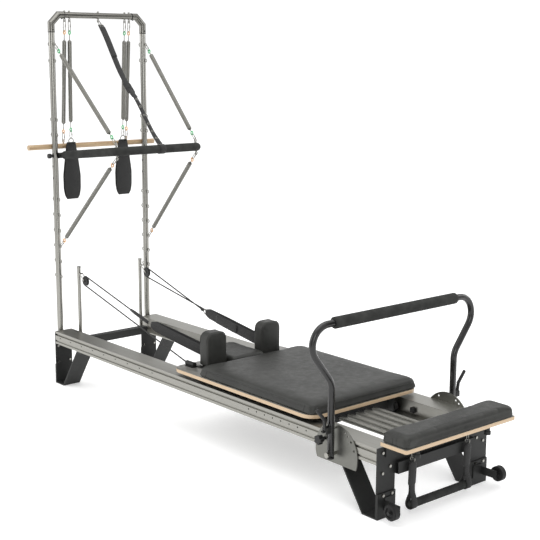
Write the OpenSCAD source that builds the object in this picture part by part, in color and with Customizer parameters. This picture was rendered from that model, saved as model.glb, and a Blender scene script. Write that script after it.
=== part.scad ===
// Exercise reformer with a half tower: sliding carriage, footbar, springs,
// push-through bar, roll-down bar, loops and straps. Millimetres, +Z up,
// head end (tower) towards -X, foot end (platform) towards +X.

/* [Frame] */
// Length of the side rails
rail_len = 2418; // [2000:1:2920]
// Width over the outer faces of the rails
frame_w = 660; // [540:1:800]
// Height of the rails' top face above the floor
rail_top = 290; // [240:1:360]
// Height of a rail's section
rail_h = 68; // [60:1:84]
// Width of a rail's section without its track ledge
rail_w = 100; // [84:1:120]
// Width of the track ledge the wheels roll on
ledge_w = 45; // [38:1:54]
// Thickness of the rail walls
rail_t = 6; // [4:0.5:8]
// Thickness of the folded leg plates
plate_t = 6; // [4:0.5:8]

/* [Carriage] */
// Length of the carriage board
board_len = 975; // [800:1:1170]
// Thickness of the plywood boards
board_t = 16; // [12:0.5:20]
// Gap between the rails' top face and the carriage board
board_gap = 16; // [12:0.5:20]
// Thickness of the seat and platform pads
pad_t = 44; // [35:1:54]
// Length of the main pad
pad_len = 785; // [650:1:850]
// Diameter of the carriage wheels
wheel_d = 40; // [34:0.5:48]
// Width of the carriage wheels
wheel_w = 20; // [16:0.5:24]
// Diameter of the carriage wheel axles
axle_d = 8; // [6:0.5:10]
// Width of a shoulder rest
rest_w = 120; // [100:1:140]
// Height of a shoulder rest's pad
rest_h = 162; // [130:1:195]
// Number of carriage springs
spring_n = 5; // [3:1:6]
// Outer diameter of the carriage springs
spring_d = 22; // [18:1:26]

/* [Footbar and platform] */
// Outer diameter of the footbar tube
foot_tube_d = 29; // [24:0.5:32]
// Height of the footbar's cross piece above the floor
footbar_z = 750; // [680:1:900]
// Outer diameter of the footbar's soft sleeve
foot_sleeve_d = 48; // [40:1:58]
// Depth of the standing platform
platform_len = 140; // [117:1:168]

/* [Tower] */
// Height of the top bar's axis above the floor
tower_z = 1965; // [1640:1:2358]
// Outer diameter of the tower tubes
tube_d = 31.8; // [26.5:0.1:38]
// Wall thickness of the tower tubes
tube_t = 2.5; // [2:0.1:3]
// Height of the push bar's pivot above the floor
pivot_z = 1235; // [1030:1:1400]
// Reach of the push bar from its pivot to its cross piece
push_reach = 570; // [475:1:684]
// Outer diameter of the push bar's soft sleeve
push_sleeve_d = 43; // [36:1:50]
// Diameter of the pull pins
pin_d = 10; // [8:0.5:12]
// Length of the wooden roll-down bar
roll_len = 790; // [660:1:948]
// Diameter of the wooden roll-down bar
roll_d = 28; // [24:0.5:33]
// Outer diameter of the tower springs
tower_spring_d = 24; // [20:1:28]
// Diameter of the pulleys
pulley_d = 50; // [42:1:60]
// Diameter of the ropes
rope_d = 7; // [5:0.5:8]

/* [Hidden] */
$fn = 48;
steel = [0.74, 0.73, 0.69];
alu = [0.80, 0.80, 0.77];
black = [0.17, 0.17, 0.17];
vinyl = [0.30, 0.30, 0.29];
ply = [0.87, 0.75, 0.55];
rubber = [0.08, 0.08, 0.08];

y_out = frame_w / 2;
y_in = y_out - rail_w;
y_ledge = y_in - ledge_w;
rail_z = rail_top - rail_h;
ledge_top = rail_z + rail_t;

upright_y = y_out - 45;
upright_x = -plate_t - 0.1 - tube_d / 2;
roll_x = upright_x - tube_d / 2 - roll_d / 2 - 0.5;
roll_y = -30;
roll_z = pivot_z + 46;
elbow_r = 62;

board_z = rail_top + board_gap;
board_x1 = rail_len - 373;
board_x0 = board_x1 - board_len;
board_w = frame_w - 4;
pad_z = board_z + board_t;
pad_x0 = board_x1 - pad_len;
pad_top = pad_z + pad_t;
rest_yc = y_ledge - 18;
rest_y0 = rest_yc - rest_w / 2;
head_w = 2 * (rest_y0 - 6);
rest_x = pad_x0 - 75;
rest_t = 68;
socket_d = 22;
post_rod_d = 16;
angle_y = y_ledge - 1.9;
wheel_y = y_ledge + 12;
wheel_z = ledge_top + wheel_d / 2 + 0.1;
wheel_x = [board_x0 + 60, board_x1 - 45];
hook_x = board_x1 - 60;
spring_z = rail_z + 42;
spring_y0 = -20;
spring_pitch = 2 * (y_ledge - 60) / 5;

plat_x0 = rail_len + 12;
plat_x1 = plat_x0 + platform_len;
bar_x = rail_len - 58;
foot_px = rail_len - 218;
foot_pz = rail_top - 75;
foot_y = y_out + 35;
flare = 38;
seam = 0.02;
bend_r = 80;
top_c = foot_y + 25;
foot_bore = foot_tube_d - 5;
foot_pin_d = 14;
fan_r = 120;
fan_t = 5;
lock_z = foot_pz + fan_r - 14;
lock_d = 9;
lever_y = -foot_y - 31;
lever_z = lock_z + 6;

pull_x = 110;
pull_y = y_in - 32;
pull_z = rail_top + 277;
post_x = 42;
post_d = 19;

push_y = upright_y - tube_d / 2 - push_sleeve_d / 2 - 2.5;
push_tube_d = 28;
push_tilt = 6;
push_bend = 40;
push_end_z = pivot_z + push_reach * sin(push_tilt);
push_end_x = upright_x + push_reach * cos(push_tilt);
eye_back = 34;

eye_r = 8;
eye_w = 5;
eye_out = 28;
eye_z = [1815, 1730, 1425, 1345, 1003, 920, 836, 752, 670, 588] * tower_z / 1965;
top_eye_y = [-205, -176, 0, 168, 196] * upright_y / 285;
top_eye_z = tower_z - tube_d / 2 - 10;
hook_d = 4;
hook_w = 13;
strap_x = rail_len + 38;
strap_y = 165;
strap_z = 34;
cleat_x = board_x0 + 22;
cleat_y = y_in + 22;
cleat_z = pad_z + 13;

x_min = roll_x - roll_d / 2;
x_max = plat_x1;
x_mid = (x_min + x_max) / 2;

// Moves a piece from head-end coordinates to the centred frame
module placed(c) {
    color(c) translate([-x_mid, 0, 0]) children();
}

// Both sides: the near side at -Y and its mirror image at +Y
module both() {
    children();
    mirror([0, 1, 0]) children();
}

// Puts a piece built up +Z from the origin onto the line from p to q, by the smallest turn
module along(p, q) {
    v = q - p;
    a = atan2(v[1], v[0]);
    translate(p) rotate([0, acos(v[2] / norm(v)), a]) rotate([0, 0, -a]) children();
}

// Round bar of length l up +Z, a tube when inner is given
module bar(l, d, inner = 0) {
    difference() {
        cylinder(h = l, d = d);
        if (inner > 0) translate([0, 0, -1]) cylinder(h = l + 2, d = inner);
    }
}

// Round bar or tube from p to q
module rod(p, q, d, inner = 0) along(p, q) bar(norm(q - p), d, inner);

// Arc of round bar or tube in the XY plane from angle a0 to a1
module arc(r, a0, a1, d, inner = 0) {
    rotate([0, 0, a0]) rotate_extrude(angle = a1 - a0) translate([r, 0]) difference() {
        circle(d = d);
        if (inner > 0) circle(d = inner);
    }
}

// Closed ring of round wire in the XY plane
module ring(r, d) {
    rotate_extrude() translate([r, 0]) circle(d = d);
}

// Box given by its low corner and size
module box(low, size) {
    translate(low) cube(size);
}

// Flat shape w by l centred on the origin with rounded corners
module rounded(l, w, r) {
    square([l - 2 * r, w], center = true);
    square([l, w - 2 * r], center = true);
    for (x = [-1, 1], y = [-1, 1])
        translate([x * (l / 2 - r), y * (w / 2 - r)]) circle(r = r);
}

// Plate from x0 to x1, w wide, rounded at its four upright edges
module slab(x0, x1, w, z, t, r) {
    translate([(x0 + x1) / 2, 0, z]) linear_extrude(t) rounded(x1 - x0, w, r);
}

// Eye bolt: ring centred on the origin, shank up +Z to length l
module eye(l) {
    rotate([90, 0, 0]) ring(eye_r, eye_w);
    translate([0, 0, eye_r]) cylinder(h = l - eye_r, d = 6);
}

// Snap hook: long loop of wire from z = 0 to z = l, in the YZ plane
module snap(l) {
    r = hook_w / 2;
    rotate([90, 0, 90]) {
        translate([0, l - r, 0]) arc(r, 0, 180, hook_d);
        translate([0, r, 0]) arc(r, 180, 360, hook_d);
    }
    for (s = [-1, 1]) translate([0, s * r, r]) cylinder(h = l - 2 * r, d = hook_d);
    translate([0, -r, l * 0.35]) cylinder(h = 9, d = hook_d + 2.5);
}

// Coil spring with a ring at each end, from z = 0 to z = l
module coil(l, d) {
    for (e = [0, 1]) translate([0, 0, e * l]) mirror([0, 0, e]) {
        translate([0, 0, 8]) rotate([90, 0, 0]) ring(8, 4);
        translate([0, 0, 15]) cylinder(h = 10, d = 5);
        translate([0, 0, 24]) cylinder(h = 8, d1 = d * 0.5, d2 = d);
    }
    translate([0, 0, 32]) difference() {
        cylinder(h = l - 64, d = d);
        translate([0, 0, 1]) cylinder(h = l - 66, d = d - 6);
    }
}

// Spring between the eye centres p, the lower, and q, with a snap hook at each end
module hooked_spring(p, q, h0, h1, d) {
    l = norm(q - p);
    slack = hook_d / 2 + 2.3;
    along(p, q) {
        snap(h0);
        translate([0, 0, h0 - slack]) coil(l - h0 - h1 + 2 * slack, d);
        translate([0, 0, l]) mirror([0, 0, 1]) snap(h1);
    }
}

module rail_section() {
    difference() {
        square([rail_w, rail_h]);
        translate([rail_t, rail_t]) square([rail_w - 2 * rail_t, rail_h - 2 * rail_t]);
        translate([-1, rail_h - 22]) square([9, 10]);
        translate([-1, 12]) square([9, 9]);
    }
    translate([rail_t - 1, rail_h - 23]) square([10, 1]);
    translate([8, rail_h - 23]) square([3, 18]);
    translate([rail_t - 1, rail_t]) square([5, 16]);
    translate([rail_w - 1, 0]) square([ledge_w + 1, rail_t]);
}

module one_rail() {
    difference() {
        translate([0, -y_out, rail_z]) rotate([90, 0, 90]) linear_extrude(rail_len) rail_section();
        for (i = [0:8]) translate([50 + 108 * i, -y_out - 1, rail_z + rail_h / 2 + 2])
            rotate([-90, 0, 0]) cylinder(h = rail_t + 2, d = 7);
        for (i = [0:7]) translate([rail_len - 772 + 53 * i, -y_out - 1, rail_z + rail_h / 2 + 2])
            rotate([-90, 0, 0]) cylinder(h = rail_t + 2, d = 7);
    }
}

module rails() placed(alu) both() one_rail();

module crossmember_head() placed(black) difference() {
    box([84, -y_ledge, rail_z - 2], [40, 2 * y_ledge, 40]);
    box([87, -y_ledge - 1, rail_z + 1], [34, 2 * y_ledge + 2, 34]);
}

module crossmember_foot() placed(black) {
    difference() {
        box([rail_len + plate_t, -y_in, rail_z - 52], [18, 2 * y_in, 48]);
        box([rail_len + plate_t + 3, -y_in - 1, rail_z - 49], [12, 2 * y_in + 2, 42]);
    }
    box([rail_len, -y_in, rail_z - 52], [plate_t, 2 * y_in, rail_h + 48]);
}

module leg_plates() placed(black) both() {
    box([-plate_t, -y_out, plate_t], [plate_t, rail_w, rail_top - plate_t - 4]);
    box([rail_len, -y_out, plate_t], [plate_t, rail_w, rail_top - plate_t]);
}

// Folded strut seen from the side, head end, as a closed outline
module strut_shape() {
    s = plate_t;
    polygon([[-2 * s, 0], [72, 0], [222, rail_z - s], [262, rail_z - s], [262, rail_z],
             [216, rail_z], [68, s], [-s, s], [-s, 105], [-2 * s, 105]]);
}

module one_strut() {
    translate([0, -y_in, 0]) rotate([90, 0, 0]) linear_extrude(rail_w) strut_shape();
}

module leg_struts() placed(black) both() {
    one_strut();
    translate([rail_len, 0, 0]) mirror([1, 0, 0]) one_strut();
}

module leg_bolts() placed(steel) both() {
    for (b = [[28, -22], [70, -84], [28, -105]])
        translate([rail_len + plate_t, -y_out + b[0], rail_top + b[1]])
            rotate([0, 90, 0]) cylinder(h = 5, d = 12);
    for (y = [28, 78]) translate([rail_len + 2 * plate_t, -y_out + y, 96])
        rotate([0, 90, 0]) cylinder(h = 5, d = 12);
    for (b = [[14, -84], [86, -84], [14, -170], [86, -170]])
        translate([0, -y_out + b[0], rail_top + b[1]])
            rotate([0, 90, 0]) cylinder(h = 5, d = 12);
}

module carriage_stops() placed(rubber) both() {
    box([300, -y_in, rail_z + 24], [36, 14, 22]);
    box([rail_len - 330, -y_in, rail_z + 20], [24, 12, 20]);
}

module platform_board() placed(ply) slab(plat_x0, plat_x1, board_w, board_z, board_t, 10);

module platform_pad() placed(vinyl)
    slab(plat_x0 + 2, plat_x1, board_w - 4, pad_z, pad_t, 14);

module platform_fittings() placed(black) {
    both() {
        box([rail_len + plate_t, -y_in - 60, rail_top], [78, 50, board_z - rail_top]);
        box([rail_len + plate_t, -y_in - 60, rail_top - 40], [8, 50, 40]);
        translate([plat_x1 - 50, -y_in + 18, board_z - 36]) cylinder(h = 36, d = 20);
        translate([plat_x1 - 50, -y_in + 18, board_z - 50]) cylinder(h = 14, d = 27);
        translate([strap_x, -strap_y, board_z - 14]) eye(14);
    }
}

module spring_bar() placed(steel) {
    rod([bar_x, -y_ledge - 30, spring_z], [bar_x, y_ledge + 30, spring_z], 16);
    both() box([bar_x - 14, -y_ledge - 30, ledge_top], [28, 8, 48]);
}

module footbar_plates() placed(steel) both() {
    difference() {
        translate([foot_px, -y_out, foot_pz]) rotate([90, 0, 0])
            linear_extrude(fan_t) union() {
                intersection() {
                    circle(r = fan_r);
                    translate([-fan_r, -46]) square([2 * fan_r, fan_r + 46]);
                }
            }
        for (a = [-52, -27, 27, 38, 52, 72]) translate([foot_px, 0, foot_pz])
            rotate([0, a, 0]) translate([0, -y_out + 1, fan_r - 14])
                rotate([90, 0, 0]) cylinder(h = fan_t + 2, d = lock_d + 0.5);
        translate([foot_px, -y_out + 1, foot_pz]) rotate([90, 0, 0])
            cylinder(h = fan_t + 2, d = foot_pin_d + 0.1);
    }
}

wheel_tx = rail_len + 82;
wheel_ty = y_out - 8;
wheel_tz = 55;
wheel_td = 64;

module wheel_brackets() placed(black) both() {
    box([rail_len + 2 * plate_t, -y_out + 36, wheel_tz - 22], [5, 56, 54]);
    box([rail_len + 2 * plate_t + 5, -y_out + 36, wheel_tz - 14], [wheel_tx - rail_len - 5, 5, 34]);
    translate([wheel_tx, -y_out + 36, wheel_tz]) rotate([90, 0, 0]) cylinder(h = 46, d = 10);
    translate([wheel_tx, -y_out - 10, wheel_tz]) rotate([90, 0, 0]) cylinder(h = 5, d = 15);
}

module transport_wheel() {
    translate([wheel_tx, -wheel_ty + 14, wheel_tz]) rotate([90, 0, 0]) difference() {
        union() {
            cylinder(h = 28, d = wheel_td - 8);
            translate([0, 0, 2]) cylinder(h = 24, d = wheel_td);
        }
        translate([0, 0, -1]) cylinder(h = 30, d = 10.1);
        for (z = [-1, 23]) translate([0, 0, z]) difference() {
            cylinder(h = 6, d = wheel_td - 20);
            cylinder(h = 6, d = 20);
        }
    }
}

module transport_wheel_near() placed(rubber) transport_wheel();

module transport_wheel_far() placed(rubber) mirror([0, 1, 0]) transport_wheel();

module pulley_posts() placed(steel) both() {
    rod([post_x, -pull_y, ledge_top], [post_x, -pull_y, pull_z + 66], post_d, post_d - 4);
    translate([post_x, -pull_y, pull_z + 62]) cylinder(h = 8, d = post_d + 3);
    translate([post_x, -pull_y, ledge_top]) cylinder(h = 20, d = post_d + 5);
    box([post_x - 17, -y_in + 4, ledge_top], [42, y_in - y_ledge - 6, 6]);
}

module pulley_hangers() placed(steel) both() {
    translate([post_x + post_d / 2, -pull_y, pull_z + 34]) rotate([0, 90, 0]) cylinder(h = 14, d = 9);
    for (s = [-1, 1]) translate([0, s * 9, 0]) rod(
        [post_x + post_d / 2 + 12, -pull_y, pull_z + 34],
        [pull_x, -pull_y, pull_z], 5);
    rod([post_x + post_d / 2 + 12, -pull_y - 11, pull_z + 34],
        [post_x + post_d / 2 + 12, -pull_y + 11, pull_z + 34], 7);
    rod([pull_x, -pull_y - 12, pull_z], [pull_x, -pull_y + 12, pull_z], 8);
}

module pulley() {
    translate([pull_x, -pull_y + 6, pull_z]) rotate([90, 0, 0]) rotate_extrude() difference() {
        translate([4.05, 0]) square([pulley_d / 2 - 4.05, 12]);
        translate([pulley_d / 2 + 1, 6]) circle(d = rope_d + 2.5);
    }
}

module pulley_near() placed(rubber) pulley();

module pulley_far() placed(rubber) mirror([0, 1, 0]) pulley();

module uprights() placed(steel) both() difference() {
    rod([upright_x, -upright_y, 108], [upright_x, -upright_y, tower_z - elbow_r],
        tube_d, tube_d - 2 * tube_t);
    for (z = [0, 55, 118]) translate([upright_x, -upright_y, pivot_z - z])
        rotate([90, 0, 0]) translate([0, 0, -30]) cylinder(h = 60, d = pin_d + 0.1);
}

module upright_clamps() placed(black) both() for (z = [rail_z - 90, rail_top - 50])
    translate([upright_x, -upright_y, z]) difference() {
        union() {
            cylinder(h = 30, d = tube_d + 8);
            translate([0, -tube_d / 2 - 18, 0]) cube([-upright_x - plate_t, tube_d + 36, 30]);
        }
        translate([0, 0, -1]) cylinder(h = 32, d = tube_d);
        translate([-upright_x - plate_t, -tube_d, -1]) cube([tube_d, 2 * tube_d, 32]);
    }

module one_elbow() {
    c = [upright_x, -upright_y + elbow_r, tower_z - elbow_r];
    d = tube_d + 4;
    difference() {
        union() {
            translate(c) rotate([90, 0, 90]) arc(elbow_r, 90, 180, d);
            rod([c[0], -upright_y, c[2] - 26], [c[0], -upright_y, c[2]], d);
            rod([c[0], c[1], tower_z], [c[0], c[1] + 12, tower_z], d);
        }
        rod([c[0], -upright_y, c[2] - 27], [c[0], -upright_y, c[2]], tube_d);
        rod([c[0], c[1], tower_z], [c[0], c[1] + 13, tower_z], tube_d);
    }
}

module tower_elbows() placed(steel) both() one_elbow();

module top_bar() placed(steel) difference() {
    rod([upright_x, -upright_y + elbow_r, tower_z], [upright_x, upright_y - elbow_r, tower_z],
        tube_d, tube_d - 2 * tube_t);
    for (y = top_eye_y) translate([upright_x, y, tower_z - 30]) cylinder(h = 60, d = 6);
}

module tower_eyes() placed(steel) {
    for (y = top_eye_y) {
        translate([upright_x, y, top_eye_z]) eye(tower_z - top_eye_z + tube_d / 2);
        translate([upright_x, y, tower_z + tube_d / 2]) cylinder(h = 7, d = 11);
    }
    both() for (z = eye_z, s = [-1, 1])
        translate([upright_x + s * eye_out, -upright_y, z]) rotate([0, -s * 90, 0])
            eye(eye_out - tube_d / 2);
}

// Point a short gap along the way from p to q
function past(p, q) = p + 0.5 * (q - p) / norm(q - p);

// Rope over a pulley: from p, round the back of the pulley, to q
module rope_run(p, q) {
    r = pulley_d / 2 + 0.8;
    c = [pull_x, -pull_y, pull_z];
    a = 76;
    up = c + [r * cos(a), 0, r * sin(a)];
    low = c + [-r * cos(78), 0, -r * sin(78)];
    translate(c) rotate([90, 0, 0]) arc(r, a, 258, rope_d);
    rod(past(up, p), p, rope_d);
    rod(past(low, q), q, rope_d);
}

near_up = [cleat_x - 392, -pull_y - 2, rail_top + 157];
near_low = [cleat_x - 1.2, -cleat_y, cleat_z];
far_up = [cleat_x - 1.2, -cleat_y, cleat_z];
far_low = [cleat_x - 462, -pull_y, rail_top + 150];

module ropes() placed(rubber) {
    rope_run(near_up, near_low);
    mirror([0, 1, 0]) rope_run(far_up, far_low);
}

module carriage_springs() placed(steel) for (i = [0:spring_n - 1]) {
    y = spring_y0 + (i - (spring_n - 1) / 2) * spring_pitch;
    difference() {
        rod([hook_x + 12, y, spring_z], [bar_x - 20, y, spring_z], spring_d);
        rod([hook_x + 13, y, spring_z], [bar_x - 21, y, spring_z], spring_d - 6);
    }
    rod([hook_x + 5.3, y, spring_z], [hook_x + 12, y, spring_z], 5);
    rod([bar_x - 20, y, spring_z], [bar_x - 10.5, y, spring_z], 5);
    translate([bar_x, y, spring_z]) rotate([90, 0, 0]) ring(11, 4);
}

up_eye = [upright_x + eye_out, -upright_y, eye_z[0]];
low_eye = [upright_x + eye_out, -upright_y, eye_z[7]];
eye_drop = push_sleeve_d / 2 + 12;

// Centre of the push bar's spring eye, s = 1 above the bar and s = -1 below it
function bar_eye(s) = [
    upright_x + (push_reach - eye_back) * cos(push_tilt) - s * eye_drop * sin(push_tilt), -push_y,
    pivot_z + (push_reach - eye_back) * sin(push_tilt) + s * eye_drop * cos(push_tilt)];

module push_bar_springs() placed(steel) both() {
    hooked_spring(bar_eye(1), up_eye, 46, 46, tower_spring_d);
    hooked_spring(low_eye, bar_eye(-1), 46, 46, tower_spring_d);
}

module safety_strap() placed(rubber) {
    p = [push_end_x, 0, push_end_z + push_sleeve_d / 2 + 3];
    q = [upright_x, 0, top_eye_z];
    l = norm(q - p);
    along(p, q) {
        translate([0, 0, l]) mirror([0, 0, 1]) snap(60);
        translate([-1.5, -15, 0]) cube([3, 30, l - 52]);
        translate([-5, -19, l * 0.58 - 60]) cube([10, 38, 60]);
    }
    translate([push_end_x, 15, push_end_z]) rotate([90, 0, 0]) difference() {
        cylinder(h = 30, d = push_sleeve_d + 8);
        translate([0, 0, -1]) cylinder(h = 32, d = push_sleeve_d + 1);
    }
}

module rest_holes(d) both() translate([rest_x, -rest_yc, board_z - 30]) cylinder(h = 60, d = d);

module carriage_board() placed(ply) difference() {
    slab(board_x0, board_x1, board_w, board_z, board_t, 60);
    rest_holes(socket_d);
}

module carriage_pad() placed(vinyl) slab(pad_x0, board_x1 + 2, board_w - 10, pad_z, pad_t, 30);

module carriage_frame() placed(black) {
    both() {
        box([board_x0 + 20, -angle_y, rail_z + 12], [board_len - 40, 5, board_z - rail_z - 12]);
        difference() {
            box([board_x0 + 20, -angle_y, board_z - 5], [board_len - 40, 40, 5]);
            rest_holes(socket_d);
        }
        for (x = wheel_x) {
            translate([x, -angle_y, wheel_z]) rotate([90, 0, 0])
                cylinder(h = wheel_y + wheel_w + 3 - angle_y, d = axle_d);
            translate([x, -wheel_y - wheel_w - 1, wheel_z]) rotate([90, 0, 0]) cylinder(h = 4, d = 14);
        }
    }
    box([hook_x, -angle_y, rail_z + 20], [5, 2 * angle_y, board_z - rail_z - 20]);
    box([board_x0 + 30, -angle_y, rail_z + 50], [5, 2 * angle_y, board_z - rail_z - 50]);
}

// Pair of carriage wheels that share one axis across the carriage
module wheels(x) both() translate([x, -wheel_y, wheel_z]) rotate([90, 0, 0]) difference() {
    cylinder(h = wheel_w, d = wheel_d);
    translate([0, 0, -1]) cylinder(h = wheel_w + 2, d = axle_d + 0.1);
    translate([0, 0, wheel_w - 3]) difference() {
        cylinder(h = 4, d = wheel_d - 10);
        cylinder(h = 4, d = 18);
    }
}

module wheels_head() placed(rubber) wheels(wheel_x[0]);

module wheels_foot() placed(rubber) wheels(wheel_x[1]);

module rope_cleats() placed(black) both() {
    box([cleat_x + 4, -cleat_y - 14, pad_z], [56, 28, 5]);
    rod([cleat_x + 0.3, -cleat_y, cleat_z], [cleat_x + 60, -cleat_y, cleat_z], 24);
    translate([cleat_x + 16, -cleat_y + 12, cleat_z]) rotate([90, 0, 0]) cylinder(h = 24, d = 6);
}

module shoulder_sockets() placed(black) both() difference() {
    union() {
        box([rest_x - 44, -rest_yc - 66, pad_z], [88, 132, 4]);
        translate([rest_x - 58, -rest_yc, pad_z]) cylinder(h = 100, d = 12);
        translate([rest_x - 58, -rest_yc, pad_z]) cylinder(h = 4, d = 34);
        translate([rest_x - 58, -rest_yc, pad_z + 100]) cylinder(h = 6, d = 20);
        translate([rest_x, -rest_yc, board_z - 24]) cylinder(h = board_t + 25, d = socket_d);
    }
    rest_holes(post_rod_d + 0.1);
}

module shoulder_post() translate([rest_x, -rest_yc, 0]) {
    translate([0, 0, board_z - 20]) cylinder(h = board_t + 90, d = post_rod_d);
    translate([-30, -rest_w / 2 + 4, pad_z + 4.3]) cube([60, rest_w - 8, 5]);
}

module shoulder_post_near() placed(steel) shoulder_post();

module shoulder_post_far() placed(steel) mirror([0, 1, 0]) shoulder_post();

module shoulder_rest() translate([rest_x, -rest_yc, pad_z + 9.3]) difference() {
    rotate([90, 0, 90]) translate([0, 0, -rest_t / 2]) linear_extrude(rest_t) {
        translate([-rest_w / 2, 0]) square([rest_w, rest_h - 34]);
        translate([0, rest_h / 2]) rounded(rest_w, rest_h, 34);
    }
    translate([0, 0, -1]) cylinder(h = 62, d = post_rod_d);
}

module shoulder_rest_near() placed(vinyl) shoulder_rest();

module shoulder_rest_far() placed(vinyl) mirror([0, 1, 0]) shoulder_rest();

head_x0 = board_x0 - 78;
head_x1 = pad_x0 - 1;

module headrest_board() placed(ply)
    slab(head_x0 + 6, head_x1, head_w - 4, pad_z + 0.3, 12, 20);

module headrest_pad() placed(vinyl)
    slab(head_x0, head_x1, head_w, pad_z + 12.3, pad_t - 14, 24);

// Loop of webbing from a ring at p to a peg at q, standing on edge
module hand_loop(p, q, w) {
    v = q - p;
    l = norm(v);
    translate(p) rotate([0, -asin(v[2] / l), atan2(v[1], v[0])]) translate([0, 0, -w / 2])
        linear_extrude(w) difference() {
            union() {
                translate([l, 0]) circle(r = 14);
                polygon([[24, -7], [l, -14], [l, 14], [24, 7]]);
            }
            translate([l, 0]) circle(r = 10);
            polygon([[28, -3], [l, -10], [l, 10], [28, 3]]);
        }
    translate(p + [15, 0, -3]) rotate([90, 0, 0]) ring(12, 5);
}

peg = [rest_x - 58, -rest_yc, pad_z + 62];

module hand_strap_near() placed(rubber) hand_loop(near_up, peg, 52);

module hand_strap_far() placed(rubber) mirror([0, 1, 0]) hand_loop(far_low, peg, 52);

// Near side of the footbar as lengths of bar of diameter d, a hair apart at each seam
module footbar_half(d, inner) {
    zc = footbar_z - bend_r;
    s = [top_c + bend_r * cos(flare), zc - bend_r * sin(flare)];
    t = (s[0] - foot_y) / sin(flare);
    corner = s[1] - t * cos(flare);
    tan_l = bend_r * tan(flare / 2);
    translate([foot_px, 0, 0]) rotate([90, 0, 90]) mirror([1, 0, 0]) {
        translate([foot_y, foot_pz - 16]) rotate([-90, 0, 0])
            bar(corner - tan_l - foot_pz + 16, d, inner);
        translate([foot_y + bend_r, corner - tan_l])
            arc(bend_r, 180 - flare + seam, 180 - seam, d, inner);
        translate([foot_y + tan_l * sin(flare), corner + tan_l * cos(flare)])
            rotate([0, 0, -flare]) rotate([-90, 0, 0]) bar(t - tan_l, d, inner);
        translate([top_c, zc]) arc(bend_r, seam - flare, 90 - seam, d, inner);
    }
}

module footbar_tube() placed(black) difference() {
    union() {
        both() {
            footbar_half(foot_tube_d, foot_bore);
            for (x = [-12, 8])
                box([foot_px + x, -foot_y - 36, lock_z - 14], [4, 28, 26]);
        }
        rod([foot_px, -top_c, footbar_z], [foot_px, top_c, footbar_z], foot_tube_d, foot_bore);
    }
    both() {
        rod([foot_px, -foot_y - 30, foot_pz], [foot_px, -foot_y + 30, foot_pz], foot_pin_d);
        rod([foot_px, -foot_y - 30, lock_z], [foot_px, -foot_y + 30, lock_z], lock_d);
        rod([foot_px - 20, lever_y, lever_z], [foot_px + 20, lever_y, lever_z], 5);
    }
}

module footbar_sleeve() placed(vinyl) translate([foot_px, 0, footbar_z]) rotate([90, 0, 0])
    difference() {
        cylinder(h = 2 * foot_y - 14, d = foot_sleeve_d, center = true);
        cylinder(h = 2 * foot_y, d = foot_tube_d, center = true);
    }

module footbar_bolts() placed(steel) both() {
    rod([foot_px, -foot_y - 20, foot_pz], [foot_px, -y_out - 0.2, foot_pz], foot_pin_d);
    rod([foot_px, -foot_y - 24, foot_pz], [foot_px, -foot_y - 16, foot_pz], foot_pin_d + 8);
    rod([foot_px, -foot_y - 22, lock_z], [foot_px, -y_out - fan_t - 0.5, lock_z], lock_d);
    rod([foot_px - 14, lever_y, lever_z], [foot_px + 14, lever_y, lever_z], 5);
}

module lever() translate([foot_px, lever_y, lever_z]) {
    difference() {
        union() {
            rotate([0, 90, 0]) cylinder(h = 14, d = 13, center = true);
            rotate([8, 0, 0]) translate([-6, -5, 0]) cube([12, 8, 44]);
            rotate([8, 0, 0]) translate([0, -1, 40]) rotate([32, 0, 0]) {
                translate([0, 0, -4]) cylinder(h = 60, d = 15);
                translate([0, 0, 56]) sphere(d = 15);
            }
        }
        rotate([0, 90, 0]) cylinder(h = 20, d = 5.1, center = true);
    }
}

module lever_near() placed(black) lever();

module lever_far() placed(black) mirror([0, 1, 0]) lever();

module side_knob() placed(black) translate([foot_px - 65, -y_out - fan_t, foot_pz + 44]) {
    rotate([90, 0, 0]) {
        translate([0, 0, 0.3]) cylinder(h = 30, d = 14);
        translate([0, 0, 22]) linear_extrude(20) {
            circle(d = 30);
            for (a = [0:72:359]) rotate([0, 0, a]) translate([14, 0]) circle(d = 13);
        }
    }
}

// Push bar centre line in its own plane: x along the arm, y across
module push_half(d) {
    l = push_reach - push_bend;
    rotate([0, 90, 0]) cylinder(h = l, d = d);
    translate([l, push_bend, 0]) arc(push_bend, -90, 0, d);
    translate([push_reach, push_bend, 0]) rotate([-90, 0, 0]) cylinder(h = push_y - push_bend, d = d);
}

module push_place() translate([upright_x, 0, pivot_z]) rotate([0, -push_tilt, 0]) children();

module push_bar_frame() placed(black) push_place() {
    difference() {
        both() translate([0, -push_y, 0]) {
            push_half(push_tube_d);
            rotate([90, 0, 0]) cylinder(h = push_sleeve_d / 2 + 1, d = 30);
            sphere(d = 30);
        }
        both() translate([0, -push_y + 8, 0]) rotate([90, 0, 0]) cylinder(h = 60, d = pin_d + 0.1);
    }
    both() for (s = [-1, 1]) translate([push_reach - eye_back, -push_y, s * eye_drop])
        rotate([s > 0 ? 180 : 0, 0, 0]) eye(eye_drop - push_tube_d / 2 + 1);
}

module push_bar_sleeve() placed(vinyl) push_place() difference() {
    both() translate([0, -push_y, 0]) intersection() {
        push_half(push_sleeve_d);
        translate([26, -100, -50]) cube([push_reach + 50, 600, 100]);
    }
    both() translate([0, -push_y, 0]) push_half(push_tube_d);
    both() translate([push_reach - eye_back, -push_y, 0]) cylinder(h = 100, d = 6, center = true);
}

module pull_pin() translate([upright_x, -upright_y, pivot_z]) {
    rotate([90, 0, 0]) {
        translate([0, 0, -tube_d / 2 - 14]) cylinder(h = tube_d + 20, d = pin_d);
        translate([0, 0, tube_d / 2 + 1]) cylinder(h = 10, d = 16);
        translate([0, 0, tube_d / 2 + 11]) cylinder(h = 14, d = 26);
    }
}

module pull_pin_near() placed(black) pull_pin();

module pull_pin_far() placed(black) mirror([0, 1, 0]) pull_pin();

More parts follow.
